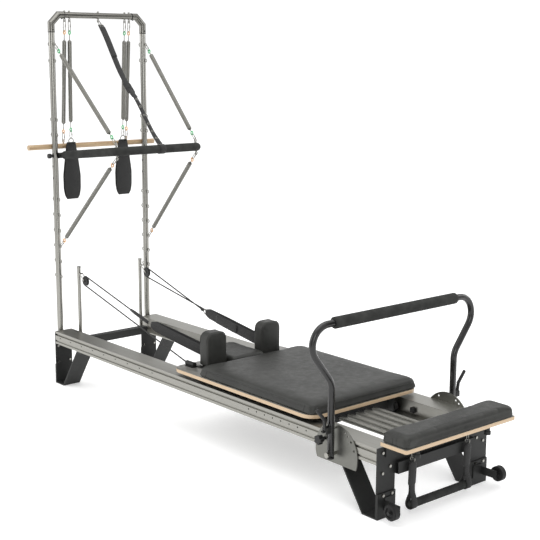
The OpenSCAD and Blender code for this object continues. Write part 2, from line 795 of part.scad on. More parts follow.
roll_eye_y = [top_eye_y[0] - 10, top_eye_y[4] - 12];
roll_eye_z = roll_z + roll_d / 2 + 12;

module roll_bar() placed(ply) {
    rod([roll_x, roll_y - roll_len / 2, roll_z], [roll_x, roll_y + roll_len / 2, roll_z], roll_d);
    for (y = roll_eye_y) translate([roll_x, y, roll_eye_z]) rotate([180, 0, 0]) eye(16);
}

module roll_springs() placed(steel) for (i = [0, 1]) hooked_spring(
    [roll_x, roll_eye_y[i], roll_eye_z], [upright_x, top_eye_y[i * 4], top_eye_z],
    46, 58, tower_spring_d);

loop_x = upright_x;
loop_z = pivot_z + 80;
loop_hook = 2.5;

// Hanging loop of padded webbing, folded over on itself
module loop() {
    translate([0, 0, -6]) rotate([90, 0, 0]) ring(14, 5);
    difference() {
        intersection() {
            rotate([90, 0, 90]) translate([0, 0, -20]) linear_extrude(40) {
                polygon([[-26, -10], [26, -10], [48, -190], [46, -262], [-46, -262], [-48, -190]]);
                translate([0, -264]) rounded(92, 108, 30);
            }
            rotate([90, 0, 0]) translate([0, 0, -80]) linear_extrude(160) {
                translate([-10, -308]) square([20, 292]);
                translate([0, -308]) circle(r = 10);
            }
        }
        rotate([90, 0, 0]) translate([0, 0, -80]) linear_extrude(160) {
            translate([-6, -308]) square([12, 284]);
            translate([0, -308]) circle(r = 6);
        }
        rotate([90, 0, 0]) cylinder(h = 60, d = 6, center = true);
    }
}

module loop_place(y) translate([loop_x, y, loop_z]) children();

module loop_near() placed(rubber) loop_place(top_eye_y[1] - 10) loop();

module loop_far() placed(rubber) loop_place(top_eye_y[3] - 26) loop();

module loop_spring_near() placed(steel) hooked_spring(
    [loop_x, top_eye_y[1] - 10, loop_z + loop_hook],
    [upright_x, top_eye_y[1], top_eye_z], 40, 58, tower_spring_d);

module loop_spring_far() placed(steel) hooked_spring(
    [loop_x, top_eye_y[3] - 26, loop_z + loop_hook],
    [upright_x, top_eye_y[3], top_eye_z], 40, 58, tower_spring_d);

module foot_strap() placed(rubber) {
    both() {
        translate([strap_x, -strap_y, board_z - 16]) mirror([0, 0, 1]) snap(64);
        translate([strap_x, -strap_y, board_z - 84]) rotate([90, 0, 0]) ring(12, 4);
        translate([strap_x - 5, -strap_y - 20, 112]) cube([10, 40, board_z - 84 - 12 - 112]);
        translate([strap_x - 5, -strap_y - 13, strap_z + 8]) cube([10, 26, 108 - strap_z]);
        translate([strap_x, -strap_y, strap_z]) sphere(d = 26);
    }
    rod([strap_x, -strap_y, strap_z], [strap_x, strap_y, strap_z], 26);
}

rails();
crossmember_head();
crossmember_foot();
leg_plates();
leg_struts();
leg_bolts();
carriage_stops();
platform_board();
platform_pad();
platform_fittings();
spring_bar();
footbar_plates();
wheel_brackets();
pulley_posts();
pulley_hangers();
uprights();
upright_clamps();
tower_elbows();
top_bar();
tower_eyes();
ropes();
carriage_springs();
push_bar_springs();
safety_strap();
carriage_board();
carriage_pad();
carriage_frame();
rope_cleats();
shoulder_sockets();
hand_strap_near();
hand_strap_far();
wheels_head();
wheels_foot();
headrest_board();
headrest_pad();
shoulder_rest_near();
shoulder_post_near();
shoulder_rest_far();
shoulder_post_far();
footbar_tube();
footbar_sleeve();
footbar_bolts();
lever_near();
lever_far();
side_knob();
transport_wheel_near();
transport_wheel_far();
pulley_near();
pulley_far();
push_bar_frame();
push_bar_sleeve();
pull_pin_near();
pull_pin_far();
roll_bar();
roll_springs();
loop_near();
loop_spring_near();
loop_far();
loop_spring_far();
foot_strap();
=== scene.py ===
# %% [markdown]
# # Pilates reformer with a half tower
# The engineering model gives every hard piece its place. This lesson adds what a drawing leaves
# out: wound springs, upholstery, webbing, rope, and finishes with grain.

# %% Load the engineering model
import bpy, bmesh, math
import numpy as np
from mathutils import Matrix, Vector
from mathutils.bvhtree import BVHTree


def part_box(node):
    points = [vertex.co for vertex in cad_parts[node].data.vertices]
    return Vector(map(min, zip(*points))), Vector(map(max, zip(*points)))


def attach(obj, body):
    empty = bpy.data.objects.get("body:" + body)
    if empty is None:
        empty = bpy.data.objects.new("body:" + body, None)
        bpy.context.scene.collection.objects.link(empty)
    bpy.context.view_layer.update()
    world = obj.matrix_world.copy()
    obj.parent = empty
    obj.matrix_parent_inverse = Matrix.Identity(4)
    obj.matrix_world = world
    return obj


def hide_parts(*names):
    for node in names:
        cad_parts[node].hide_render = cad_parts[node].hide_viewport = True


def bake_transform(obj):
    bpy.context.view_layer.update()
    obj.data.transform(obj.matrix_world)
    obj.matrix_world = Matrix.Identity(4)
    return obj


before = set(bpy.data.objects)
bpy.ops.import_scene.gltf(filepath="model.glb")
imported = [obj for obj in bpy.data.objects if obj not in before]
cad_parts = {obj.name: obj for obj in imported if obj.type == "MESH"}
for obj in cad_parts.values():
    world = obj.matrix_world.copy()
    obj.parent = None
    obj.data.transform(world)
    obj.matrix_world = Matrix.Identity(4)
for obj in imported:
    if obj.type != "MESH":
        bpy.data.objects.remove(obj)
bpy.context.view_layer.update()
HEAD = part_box("rails")[0].x


def at(x, y, z):
    """A point given from the rails' head end."""
    return Vector((HEAD + x, y, z))


# %% [markdown]
# ## Camera
# A long lens from the foot corner shows the whole length with little distortion. Its place could be
# found by eye, but a measured position, heading and tilt keep the proportions right.

# %% Camera
def place_camera(spot, heading, down, roll, lens):
    a, e, r = (math.radians(v) for v in (heading, down, roll))
    back = Vector((math.sin(a) * math.cos(e), -math.cos(a) * math.cos(e), math.sin(e)))
    right = Vector((math.cos(a), math.sin(a), 0))
    up = back.cross(right)
    right, up = right * math.cos(r) + up * math.sin(r), up * math.cos(r) - right * math.sin(r)
    data = bpy.data.cameras.new("camera")
    data.sensor_width, data.lens = 36, lens
    data.dof.use_dof = False
    cam = bpy.data.objects.new("camera", data)
    bpy.context.scene.collection.objects.link(cam)
    cam.matrix_world = Matrix.Translation(spot) @ Matrix((right, up, back)).transposed().to_4x4()
    bpy.context.scene.camera = cam
    return cam


camera = place_camera(at(5.322, -3.361, 1.793), 49.41, 10.92, 0.27, 76.2)
print("camera at", tuple(round(v, 3) for v in camera.location))

# %% [markdown]
# ## Shader sums
# A material's pattern is easier to read as an expression than as a list of nodes. This class wraps
# one socket, and each operator adds one Math node.

# %% Sockets that do sums
class Sock:
    def __init__(self, finish, socket):
        self.finish, self.socket = finish, socket

    def sum(self, operation, a, b=0.0):
        return self.finish.add("Math", {0: a, 1: b}, operation=operation)

    def __add__(self, other): return self.sum("ADD", self, other)
    def __radd__(self, other): return self.sum("ADD", other, self)
    def __mul__(self, other): return self.sum("MULTIPLY", self, other)
    def __rmul__(self, other): return self.sum("MULTIPLY", other, self)
    def __abs__(self): return self.sum("ABSOLUTE", self)


class Finish:
    """One material: its shader, and one way to add any node."""
    def __init__(self, name, colour, roughness, metallic=0.0, **plain):
        self.mat = bpy.data.materials.new(name)
        self.mat.use_nodes = True
        self.tree = self.mat.node_tree
        self.shader = self.tree.nodes["Principled BSDF"]
        self.set("Base Color", (*colour, 1))
        self.set("Roughness", roughness)
        self.set("Metallic", metallic)
        for key, value in plain.items():
            self.set(key.replace("_", " "), value)

    def set(self, key, value):
        self.feed(self.shader.inputs[key], value)

    def feed(self, socket, value):
        if isinstance(value, Sock):
            self.tree.links.new(value.socket, socket)
        else:
            socket.default_value = value

    def add(self, kind, inputs=None, out=0, **settings):
        node = self.tree.nodes.new("ShaderNode" + kind)
        for key, value in settings.items():
            setattr(node, key, value)
        for key, value in (inputs or {}).items():
            self.feed(node.inputs[key], value)
        return Sock(self, node.outputs[out])

    def point(self):
        return self.add("TexCoord", out="Object")

    def stretched(self, x, y, z):
        return self.add("Mapping", {"Vector": self.point(), "Scale": (x, y, z)})

    def noise(self, vector, scale, detail=3.0, rough=0.5):
        return self.add("TexNoise", {"Vector": vector, "Scale": scale, "Detail": detail,
                                     "Roughness": rough}, out="Fac")

    def between(self, mask, a, b):
        return self.add("Mix", {0: mask, 6: (*a, 1) if len(a) == 3 else a,
                                7: (*b, 1) if len(b) == 3 else b}, out=2, data_type="RGBA")

    def spread(self, value, low, high, to_low=0.0, to_high=1.0):
        return self.add("MapRange", {"Value": value, "From Min": low, "From Max": high,
                                     "To Min": to_low, "To Max": to_high})

    def relief(self, height, depth, strength=1.0):
        self.set("Normal", self.add("Bump", {"Height": height, "Distance": depth,
                                             "Strength": strength}, out="Normal"))


print("shader helpers ready")

# %% [markdown]
# ## Metals
# Anodised rails are silky, with fine lines drawn along them by the extrusion die. Tower tubes are
# polished stainless steel. Stretching noise along one axis gives drawn lines without any image.

# %% Bare metals
def drawn_metal(name, colour, rough, along, scale, depth=0.00002, spread=0.08):
    f = Finish(name, colour, rough, 1.0)
    s = [1.0, 1.0, 1.0]
    s["XYZ".index(along)] = 0.02
    lines = f.noise(f.stretched(*s), scale, 4, 0.6)
    cloud = f.noise(f.point(), 7, 2)
    f.set("Roughness", f.spread(lines * 0.7 + cloud * 0.3, 0.3, 0.7, rough - spread, rough + spread))
    f.set("Base Color", f.between(cloud, [c * 0.93 for c in colour], [min(1, c * 1.05) for c in colour]))
    f.relief(lines, depth, 0.5)
    return f.mat


ANODISED = drawn_metal("anodised_aluminium", (0.295, 0.29, 0.266), 0.38, "X", 260)
STAINLESS = drawn_metal("polished_stainless_upright", (0.295, 0.29, 0.268), 0.18, "Z", 220, spread=0.05)
# Cross tubes and elbows are the same polished stainless as the uprights; their darker colour is painted
# shade.
STAINLESS_PAINTED_SHADE = drawn_metal("polished_stainless_cross_painted_shade", (0.185, 0.181, 0.166), 0.20, "Y", 220, spread=0.05)
SPRING_WIRE = drawn_metal("spring_wire", (0.25, 0.246, 0.225), 0.30, "X", 300, spread=0.05)
PLATE_STEEL = drawn_metal("grey_plate_steel", (0.17, 0.17, 0.155), 0.42, "Y", 120)
print("metals", ANODISED.name, STAINLESS.name, SPRING_WIRE.name, PLATE_STEEL.name)

# %% [markdown]
# ## Painted and moulded parts
# Legs are powder coated: nearly black, with a fine orange-peel skin. The footbar tube is smoother
# and glossier. Wheels and knobs are moulded, with a faint pebble.

# %% Paint, plastic and rubber
def coated(name, colour, rough, scale, depth, coat=0.0):
    f = Finish(name, colour, rough, 0.0, Coat_Weight=coat, Coat_Roughness=0.12, Specular_IOR_Level=0.3)
    peel = f.noise(f.point(), scale, 3, 0.6)
    cloud = f.noise(f.point(), 9, 3)
    f.set("Base Color", f.between(f.spread(cloud, 0.3, 0.7), [c * 0.8 for c in colour],
                                  [c * 1.3 for c in colour]))
    f.set("Roughness", f.spread(peel, 0.3, 0.7, rough - 0.06, rough + 0.08))
    f.relief(peel, depth, 0.7)
    return f.mat


POWDER = coated("black_powder_coat", (0.013, 0.0135, 0.013), 0.50, 900, 0.00012)
GLOSS = coated("gloss_black_tube", (0.008, 0.008, 0.008), 0.22, 400, 0.00003, 0.35)
MOULDED = coated("moulded_black_plastic", (0.012, 0.012, 0.012), 0.44, 1400, 0.00008)
RUBBER = coated("black_rubber", (0.010, 0.010, 0.010), 0.62, 700, 0.0001)
GREEN = coated("green_spring_eyelet", (0.045, 0.36, 0.13), 0.38, 500, 0.00005)
TAN = coated("tan_spring_eyelet", (0.62, 0.33, 0.13), 0.38, 500, 0.00005)

# %% Foam sleeves
def foam():
    f = Finish("closed_cell_foam", (0.040, 0.040, 0.039), 0.82, 0.0, Specular_IOR_Level=0.2)
    cells = f.add("TexVoronoi", {"Vector": f.point(), "Scale": 900.0}, out="Distance")
    cloud = f.noise(f.point(), 22, 4)
    f.set("Base Color", f.between(f.spread(cloud, 0.3, 0.7), (0.016, 0.0165, 0.016), (0.032, 0.033, 0.031)))
    f.relief(cells + cloud * 0.8, 0.0003, 0.8)
    return f.mat


FOAM = foam()
print("coatings", POWDER.name, GLOSS.name, MOULDED.name, FOAM.name)

# %% [markdown]
# ## Upholstery vinyl
# The pads are covered in charcoal vinyl with a fine pebbled grain. A Voronoi pattern makes the
# pebbles, and slow noise makes the slight change in sheen that stretched vinyl has.

# %% Vinyl
def vinyl():
    f = Finish("charcoal_vinyl", (0.066, 0.065, 0.058), 0.46, 0.0, Specular_IOR_Level=0.3)
    pebble = f.add("TexVoronoi", {"Vector": f.point(), "Scale": 620.0}, out="Distance")
    wrinkle = f.noise(f.stretched(1, 1, 0.6), 34, 5, 0.62)
    cloud = f.noise(f.point(), 5, 3)
    shade = f.spread(cloud * 0.6 + wrinkle * 0.4, 0.35, 0.65)
    f.set("Base Color", f.between(shade, (0.016, 0.0165, 0.015), (0.030, 0.0305, 0.0275)))
    f.set("Roughness", f.spread(wrinkle, 0.3, 0.7, 0.38, 0.54))
    f.relief(pebble * 0.5 + wrinkle * 1.6, 0.00035, 0.7)
    return f.mat


VINYL = vinyl()
SEAM = coated("vinyl_welt", (0.030, 0.030, 0.027), 0.5, 500, 0.0001)

# %% [markdown]
# ## Wood
# The boards are birch plywood, so their edges show thin glue lines. The hanging bar is one turned
# piece, with grain along its length. The plywood mask comes from the face's direction: edges get
# layers, flat faces get long grain.

# %% Plywood and turned wood
def plywood():
    f = Finish("birch_plywood", (0.62, 0.44, 0.26), 0.42, 0.0, Coat_Weight=0.25, Coat_Roughness=0.2)
    place = f.add("SeparateXYZ", {0: f.point()}, out="Z")
    facing = abs(f.add("SeparateXYZ", {0: f.add("NewGeometry", out="Normal")}, out="Z"))
    edge = f.spread(facing, 0.4, 0.6, 1.0, 0.0)
    ply = f.add("Math", {0: place * 2400.0}, operation="SINE")
    layers = f.spread(ply, 0.55, 0.95)
    grain = f.noise(f.stretched(0.12, 1.0, 1.0), 60, 5, 0.6)
    flat = f.between(f.spread(grain, 0.35, 0.65), (0.075, 0.073, 0.066), (0.19, 0.185, 0.17))
    side = f.between(layers * 0.55, (0.50, 0.37, 0.235), (0.25, 0.155, 0.085))
    f.set("Base Color", f.add("Mix", {0: edge, 6: flat, 7: side}, out=2, data_type="RGBA"))
    f.set("Roughness", f.spread(grain, 0.3, 0.7, 0.36, 0.5))
    f.relief(layers * 0.4 + grain * 0.3, 0.0002, 0.6)
    return f.mat


def turned_wood():
    f = Finish("turned_ash", (0.55, 0.36, 0.18), 0.38, 0.0, Coat_Weight=0.2, Coat_Roughness=0.2)
    grain = f.noise(f.stretched(1.0, 0.05, 1.0), 110, 6, 0.6)
    rings = f.noise(f.stretched(1.0, 0.02, 1.0), 28, 2)
    f.set("Base Color", f.between(f.spread(grain * 0.6 + rings * 0.4, 0.38, 0.62),
                                  (0.27, 0.17, 0.085), (0.43, 0.315, 0.19)))
    f.set("Roughness", f.spread(grain, 0.3, 0.7, 0.32, 0.46))
    f.relief(grain, 0.0002, 0.4)
    return f.mat


PLY, ASH = plywood(), turned_wood()
print("woods", PLY.name, ASH.name)

# %% [markdown]
# ## Webbing and rope
# Webbing is woven: ribs run across it every millimetre or so. Two crossed waves give the weave.
# Rope is braided, so its pattern crosses at a slant.

# %% Woven black cloth
def woven(name, colour, ribs, slant):
    f = Finish(name, colour, 0.78, 0.0, Sheen_Weight=0.08, Sheen_Roughness=0.5)
    turn = f.add("Mapping", {"Vector": f.point(), "Rotation": slant})
    across = f.add("TexWave", {"Vector": turn, "Scale": ribs, "Distortion": 0.4}, out="Fac",
                   bands_direction="DIAGONAL")
    along = f.add("TexWave", {"Vector": turn, "Scale": ribs * 0.7, "Distortion": 0.6}, out="Fac",
                  bands_direction="Z")
    fuzz = f.noise(f.point(), 700, 3, 0.7)
    weave = across * 0.6 + along * 0.4
    f.set("Base Color", f.between(weave * 0.6 + fuzz * 0.4, [c * 0.5 for c in colour],
                                  [c * 1.7 for c in colour]))
    f.set("Roughness", f.spread(fuzz, 0.3, 0.7, 0.68, 0.9))
    f.relief(weave + fuzz * 0.5, 0.0005, 0.8)
    return f.mat


WEBBING = woven("black_webbing", (0.008, 0.008, 0.008), 180, (0.2, 0.1, 0.0))
BRAID = woven("braided_rope", (0.010, 0.010, 0.010), 260, (0.7, 0.4, 0.3))
SLEEVE_CLOTH = woven("padded_cloth", (0.010, 0.010, 0.010), 140, (0.0, 0.3, 0.0))
print("cloths", WEBBING.name, BRAID.name, SLEEVE_CLOTH.name)

# %% [markdown]
# ## Mesh helpers
# Three forms make almost everything that bends: a round section swept along a path, a flat band
# swept along a path, and a wound wire. All are built from their points, so each is one clean mesh.

# %% One mesh object from points and faces
def piece(name, verts, faces, material, smooth=True):
    mesh = bpy.data.meshes.new(name)
    mesh.from_pydata([tuple(v) for v in verts], [], faces)
    mesh.validate()
    mesh.polygons.foreach_set("use_smooth", [smooth] * len(mesh.polygons))
    mesh.materials.append(material)
    obj = bpy.data.objects.new(name, mesh)
    bpy.context.scene.collection.objects.link(obj)
    return obj


def loft(sections, closed=False):
    """Joins rings of points, in order, into one skin with capped ends."""
    n, m = len(sections), len(sections[0])
    verts = np.concatenate(sections)
    faces = []
    for i in range(n if closed else n - 1):
        a, b = i * m, ((i + 1) % n) * m
        faces += [(a + k, a + (k + 1) % m, b + (k + 1) % m, b + k) for k in range(m)]
    if not closed:
        faces += [tuple(range(m - 1, -1, -1)), tuple(range((n - 1) * m, n * m))]
    return verts, faces


def frames(path, closed=False, side=None):
    """Two unit vectors across the path at each point, turning as little as they can."""
    p = np.array([tuple(v) for v in path], float)
    if closed:
        t = np.roll(p, -1, 0) - np.roll(p, 1, 0)
    else:
        t = np.gradient(p, axis=0)
    t /= np.linalg.norm(t, axis=1)[:, None]
    u = np.array(side if side is not None else ((0, 0, 1) if abs(t[0][2]) < 0.9 else (1, 0, 0)), float)
    us = []
    for d in t:
        u = u - d * u.dot(d)
        u /= np.linalg.norm(u)
        us.append(u.copy())
        if side is not None:
            u = np.array(side, float)
    us = np.array(us)
    return p, us, np.cross(t, us)


def tube(path, radius, sides=12, closed=False):
    """A round section along a path. radius may be one number or one for each point."""
    p, u, v = frames(path, closed)
    r = np.broadcast_to(np.array(radius, float), (len(p),))
    a = np.arange(sides) * 2 * math.pi / sides
    rings = [p[i] + r[i] * (np.cos(a)[:, None] * u[i] + np.sin(a)[:, None] * v[i]) for i in range(len(p))]
    return loft(rings, closed)


def hoop(centre, radius, steps=24):
    """Points round an upright ring that faces across the machine."""
    return [centre + Vector((radius * math.cos(a), 0, radius * math.sin(a)))
            for a in np.linspace(0, 2 * math.pi, steps + 1)[:-1]]


def band(path, width, thick, side, closed=False):
    """A flat strap with soft edges. side is the direction its width lies along."""
    p, u, v = frames(path, closed, side)
    w = np.broadcast_to(np.array(width, float), (len(p),)) / 2
    h = thick / 2
    rings = []
    for i in range(len(p)):
        e = min(h, w[i] * 0.3)
        outline = [(-w[i], -h * 0.4), (-w[i] + e, -h), (w[i] - e, -h), (w[i], -h * 0.4),
                   (w[i], h * 0.4), (w[i] - e, h), (-w[i] + e, h), (-w[i], h * 0.4)]
        rings.append(np.array([p[i] + a * u[i] + b * v[i] for a, b in outline]))
    return loft(rings, closed)


def join(*parts):
    verts, faces, count = [], [], 0
    for v, f in parts:
        verts.append(np.array([tuple(q) for q in v], float))
        faces += [tuple(k + count for k in g) for g in f]
        count += len(v)
    return np.concatenate(verts), faces


def curve_points(points, steps=8, closed=False):
    """A smooth path through the given points."""
    p = np.array([tuple(v) for v in points], float)
    n = len(p)
    out = []
    for i in range(n if closed else n - 1):
        if closed:
            a, b, c, d = p[i - 1], p[i], p[(i + 1) % n], p[(i + 2) % n]
        else:
            a, b, c, d = p[max(i - 1, 0)], p[i], p[i + 1], p[min(i + 2, n - 1)]
        for k in range(steps):
            s = k / steps
            out.append(0.5 * (2 * b + (c - a) * s + (2 * a - 5 * b + 4 * c - d) * s ** 2
                              + (3 * b - a - 3 * c + d) * s ** 3))
    if not closed:
        out.append(p[-1])
    return np.array(out)


def rounded_corners(points, radius, steps=6):
    """A path of straight runs whose inner corners are arcs of one radius."""
    p = [np.array(tuple(v), float) for v in points]
    out = [p[0]]
    for a, b, c in zip(p, p[1:], p[2:]):
        d0, d1 = (a - b) / np.linalg.norm(a - b), (c - b) / np.linalg.norm(c - b)
        half = math.acos(max(-1, min(1, d0.dot(d1)))) / 2
        cut = radius / math.tan(half)
        s, e = b + d0 * cut, b + d1 * cut
        mid = b + (d0 + d1) / np.linalg.norm(d0 + d1) * (radius / math.sin(half))
        va, vb = s - mid, e - mid
        turn = math.acos(max(-1, min(1, va.dot(vb) / radius ** 2)))
        for k in range(steps + 1):
            w = k / steps
            out.append(mid + (math.sin((1 - w) * turn) * va + math.sin(w * turn) * vb) / math.sin(turn))
    out.append(p[-1])
    return np.array(out)


def settle(obj, body=None, nodes=(), slot=None, bend=None):
    """Hides the engineering nodes the piece stands for, then parents it to its body, or with bend only bakes
    it in place. slot is not used.
    """
    if nodes:
        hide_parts(*nodes)
    if bend:
        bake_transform(obj)
    else:
        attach(obj, body)
    return obj


print("mesh helpers ready")

# %% [markdown]
# ## Ropes and hand straps
# Each rope leaves its strap, turns back over a pulley and returns to a cleat on the carriage. The
# straps are parked on the pegs behind the shoulder rests. Rope and strap shorten together when the
# carriage runs up to the tower.

# %% Ropes
PULLEY = at(0.110, 0, 0.567)
ROPE_R = 0.0035
REST_X, REST_Y = 1.185, 0.167
PEG = (REST_X - 0.058, REST_Y, 0.384)
CLEAT = (1.092, 0.252, 0.335)
RING_NEAR, RING_FAR = (0.700, 0.200, 0.447), (0.630, 0.198, 0.440)


def rope_path(upper, lower, side):
    r = 0.0258
    y = side * 0.198
    wheel = [Vector((PULLEY.x + r * math.cos(math.radians(a)), y, PULLEY.z + r * math.sin(math.radians(a))))
             for a in range(76, 259, 14)]
    strap_end = at(upper[0], side * upper[1], upper[2])
    cleat_end = at(lower[0], side * lower[1], lower[2])
    run_in = [strap_end.lerp(wheel[0], k / 12) for k in range(12)]
    run_out = [wheel[-1].lerp(cleat_end, k / 14) for k in range(1, 15)]
    return run_in + wheel + run_out


def crossing(side):
    return "frame", "carriage", at(0.145, side * 0.2, 0.55), at(1.085, side * 0.2, 0.36)


near_rope = rope_path(RING_NEAR, CLEAT, -1)
far_rope = rope_path(RING_FAR, CLEAT, 1)
rope_near = piece("rope_near", *tube(near_rope, ROPE_R, 10), BRAID)
rope_far = piece("rope_far", *tube(far_rope, ROPE_R, 10), BRAID)
settle(rope_near, nodes=["ropes"], slot="rope", bend=crossing(-1))
settle(rope_far, nodes=["ropes"], slot="rope", bend=crossing(1))
for name, path in (("near", near_rope), ("far", far_rope)):
    print("rope", name, round(sum((b - a).length for a, b in zip(path, path[1:])), 3), "m")

# %% [markdown]
# A hand strap is one closed band of wide webbing. It stands on edge between the ring and the peg,
# with a thicker padded grip sewn on its outer run.

# %% Hand straps
def hand_strap(name, start, side):
    p = at(start[0], side * start[1], start[2])
    q = at(PEG[0], side * PEG[1], PEG[2])
    line = q - p
    length = line.length
    d = line / length
    across = Vector((-d.y, d.x, 0)).normalized()
    up = d.cross(across)
    up = up if up.z > 0 else -up

    def spot(a, b):
        return p + d * a + across * b

    belly = [(0.030, -0.0045), (0.08, -0.006), (0.17, -0.010), (0.29, -0.012), (length - 0.02, -0.0125)]
    arc = [(length + 0.0118 * math.sin(t), -0.0118 * math.cos(t))
           for t in np.linspace(0.3, math.pi - 0.3, 7)]
    loop = belly + arc + [(a, -b) for a, b in reversed(belly)] + [(0.0265, 0.0)]
    path = curve_points([spot(a, b) for a, b in loop], 4, True)
    along = (path - np.array(p)).dot(np.array(d))
    width = [0.050 if a > 0.06 else 0.028 + 0.022 * max(0, a - 0.026) / 0.034 for a in along]
    web = piece("hand_strap_" + name, *band(path, width, 0.003, up, True), WEBBING)
    settle(web, nodes=["hand_strap_" + name], slot="webbing", bend=crossing(side))
    grip = curve_points([spot(a, -side * (b + 0.0042)) for a, b in
                         ((0.14, 0.0095), (0.19, 0.011), (0.26, 0.012), (0.33, 0.0125))], 6)
    wide = [0.030] + [0.046] * (len(grip) - 2) + [0.030]
    pad = piece("hand_strap_grip_" + name, *band(grip, wide, 0.0055, up), SLEEVE_CLOTH)
    settle(pad, slot="webbing", bend=crossing(side))
    ring = hoop(p + Vector((0.015, 0, -0.003)), 0.012)
    metal = piece("hand_strap_ring_" + name, *tube(ring, 0.0024, 8, True), SPRING_WIRE)
    settle(metal, slot="bright_steel", bend=crossing(side))
    print("hand strap", name, round(length, 3), "m from ring to peg")


hand_strap("near", RING_NEAR, -1)
hand_strap("far", RING_FAR, 1)
tab = [near_rope[0].lerp(near_rope[12], k) for k in (0.0, 0.04, 0.12, 0.2, 0.27)]
rope_tab = piece("rope_tab_near", *band(tab, [0.016, 0.019, 0.019, 0.019, 0.012], 0.0095, (0, 0, 1)), WEBBING)
settle(rope_tab, slot="webbing", bend=crossing(-1))
tab = [far_rope[0].lerp(far_rope[12], k) for k in (0.0, 0.02, 0.04)]
rope_stop = piece("rope_stop_far", *tube(tab, [0.005, 0.0085, 0.005], 12), MOULDED)
settle(rope_stop, slot="webbing", bend=crossing(1))

# %% [markdown]
# ## Finishes for the engineering pieces
# Hard pieces whose shape is already right stay as they are and only take a finish.

# %% Finishes by node
def finish_nodes(material, *names):
    for name in names:
        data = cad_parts[name].data
        data.materials.clear()
        data.materials.append(material)


finish_nodes(ANODISED, "rails")
finish_nodes(STAINLESS, "uprights", "pulley_posts", "pulley_hangers", "leg_bolts", "tower_eyes",
             "shoulder_post_near", "shoulder_post_far", "footbar_bolts")
# The top bar and spring bar take the darker stainless copy: painted shade, not a different steel.
finish_nodes(STAINLESS_PAINTED_SHADE, "top_bar", "spring_bar")
finish_nodes(PLATE_STEEL, "footbar_plates")
finish_nodes(POWDER, "crossmember_head", "crossmember_foot", "leg_plates", "leg_struts",
             "platform_fittings", "wheel_brackets", "upright_clamps", "carriage_frame", "rope_cleats",
             "shoulder_sockets", "push_bar_frame")
finish_nodes(MOULDED, "side_knob", "lever_near", "lever_far", "pull_pin_near", "pull_pin_far",
             "wheels_head", "wheels_foot", "pulley_near", "pulley_far")
finish_nodes(RUBBER, "carriage_stops", "transport_wheel_near", "transport_wheel_far")
finish_nodes(ASH, "roll_bar")
print("finished nodes")

# %% [markdown]
# Boards have their sharp edges eased with a router. A copy of the board with a bevel shows that
# catch of light along the rim.

# %% Eased boards
def eased(node, material, body, slot, width=0.0012, segments=2):
    obj = bpy.data.objects.new(node + "_eased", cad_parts[node].data.copy())
    bpy.context.scene.collection.objects.link(obj)
    bm = bmesh.new()
    bm.from_mesh(obj.data)
    bmesh.ops.remove_doubles(bm, verts=bm.verts, dist=1e-6)
    bmesh.ops.dissolve_limit(bm, angle_limit=math.radians(0.5), verts=bm.verts, edges=bm.edges)
    sharp = [e for e in bm.edges if len(e.link_faces) == 2 and e.calc_face_angle(0) > math.radians(35)]
    bmesh.ops.bevel(bm, geom=sharp, offset=width, segments=segments, profile=0.5, affect="EDGES",
                    clamp_overlap=True)
    bm.to_mesh(obj.data)
    bm.free()
    obj.data.materials.clear()
    obj.data.materials.append(material)
    obj.data.polygons.foreach_set("use_smooth", [True] * len(obj.data.polygons))
    obj.data.set_sharp_from_angle(angle=math.radians(30))
    settle(obj, body, [node], slot)
    return obj


eased("carriage_board", PLY, "carriage", "plywood")
eased("platform_board", PLY, "frame", "plywood")
eased("headrest_board", PLY, "headrest", "plywood")
print("boards eased")

# %% [markdown]
# ## Springs
# Every spring is a close-wound coil with a drawn-in end, an eye dipped in coloured plastic that
# tells its strength, and a snap hook. The coil is one wire swept along a helix, so it really opens
# when the spring is pulled.

# %% Spring parts
def line_frame(p, q):
    d = (q - p).normalized()
    y = (Vector((0, 1, 0)) - d * d.y).normalized()
    return Matrix((y.cross(d), y, d)).transposed().to_4x4()


def moved(part, matrix):
    v, f = part
    m = np.array(matrix)
    return np.array([tuple(k) for k in v], float) @ m[:3, :3].T + m[:3, 3], f


def coil(z0, z1, radius, wire, pitch=None, per_turn=14, sides=6):
    pitch = pitch or wire * 2.12
    turns = max(4, round((z1 - z0) / pitch))
    n = turns * per_turn
    t = np.arange(n + 1) / per_turn
    draw = np.clip(np.minimum(t, turns - t) / 2.2, 0, 1)
    r = (radius - wire) * (0.34 + 0.66 * np.sin(draw * math.pi / 2))
    a = t * 2 * math.pi
    path = np.stack([r * np.cos(a), r * np.sin(a), z0 + (z1 - z0) * t / turns], 1)
    return tube(path, wire, sides)


def snap_hook(z0, z1, flip=False):
    h = z1 - z0
    side = [(0.0, 0.0), (0.0045, 0.0016), (0.0058, 0.008), (0.0062, h * 0.45), (0.0068, h - 0.012),
            (0.0052, h - 0.0035), (0.0, h)]
    if flip:
        side = [(y, h - z) for y, z in reversed(side)]
    shape = side + [(-y, z) for y, z in reversed(side[1:-1])]
    body = tube(curve_points([(0, y, z0 + z) for y, z in shape], 5, True), 0.0018, 8, True)
    gate = tube([(0, 0.0062, z0 + h * 0.38), (0, 0.0063, z0 + h * 0.62)], 0.0029, 10)
    nut = tube([(0, -0.0062, z0 + h * 0.30), (0, -0.0062, z0 + h * 0.36)], 0.0027, 10)
    return join(body, gate, nut)


def eyelet(z, radius=0.0092, wire=0.0028):
    return tube(hoop(Vector((0, 0, z)), radius), wire, 10, True)


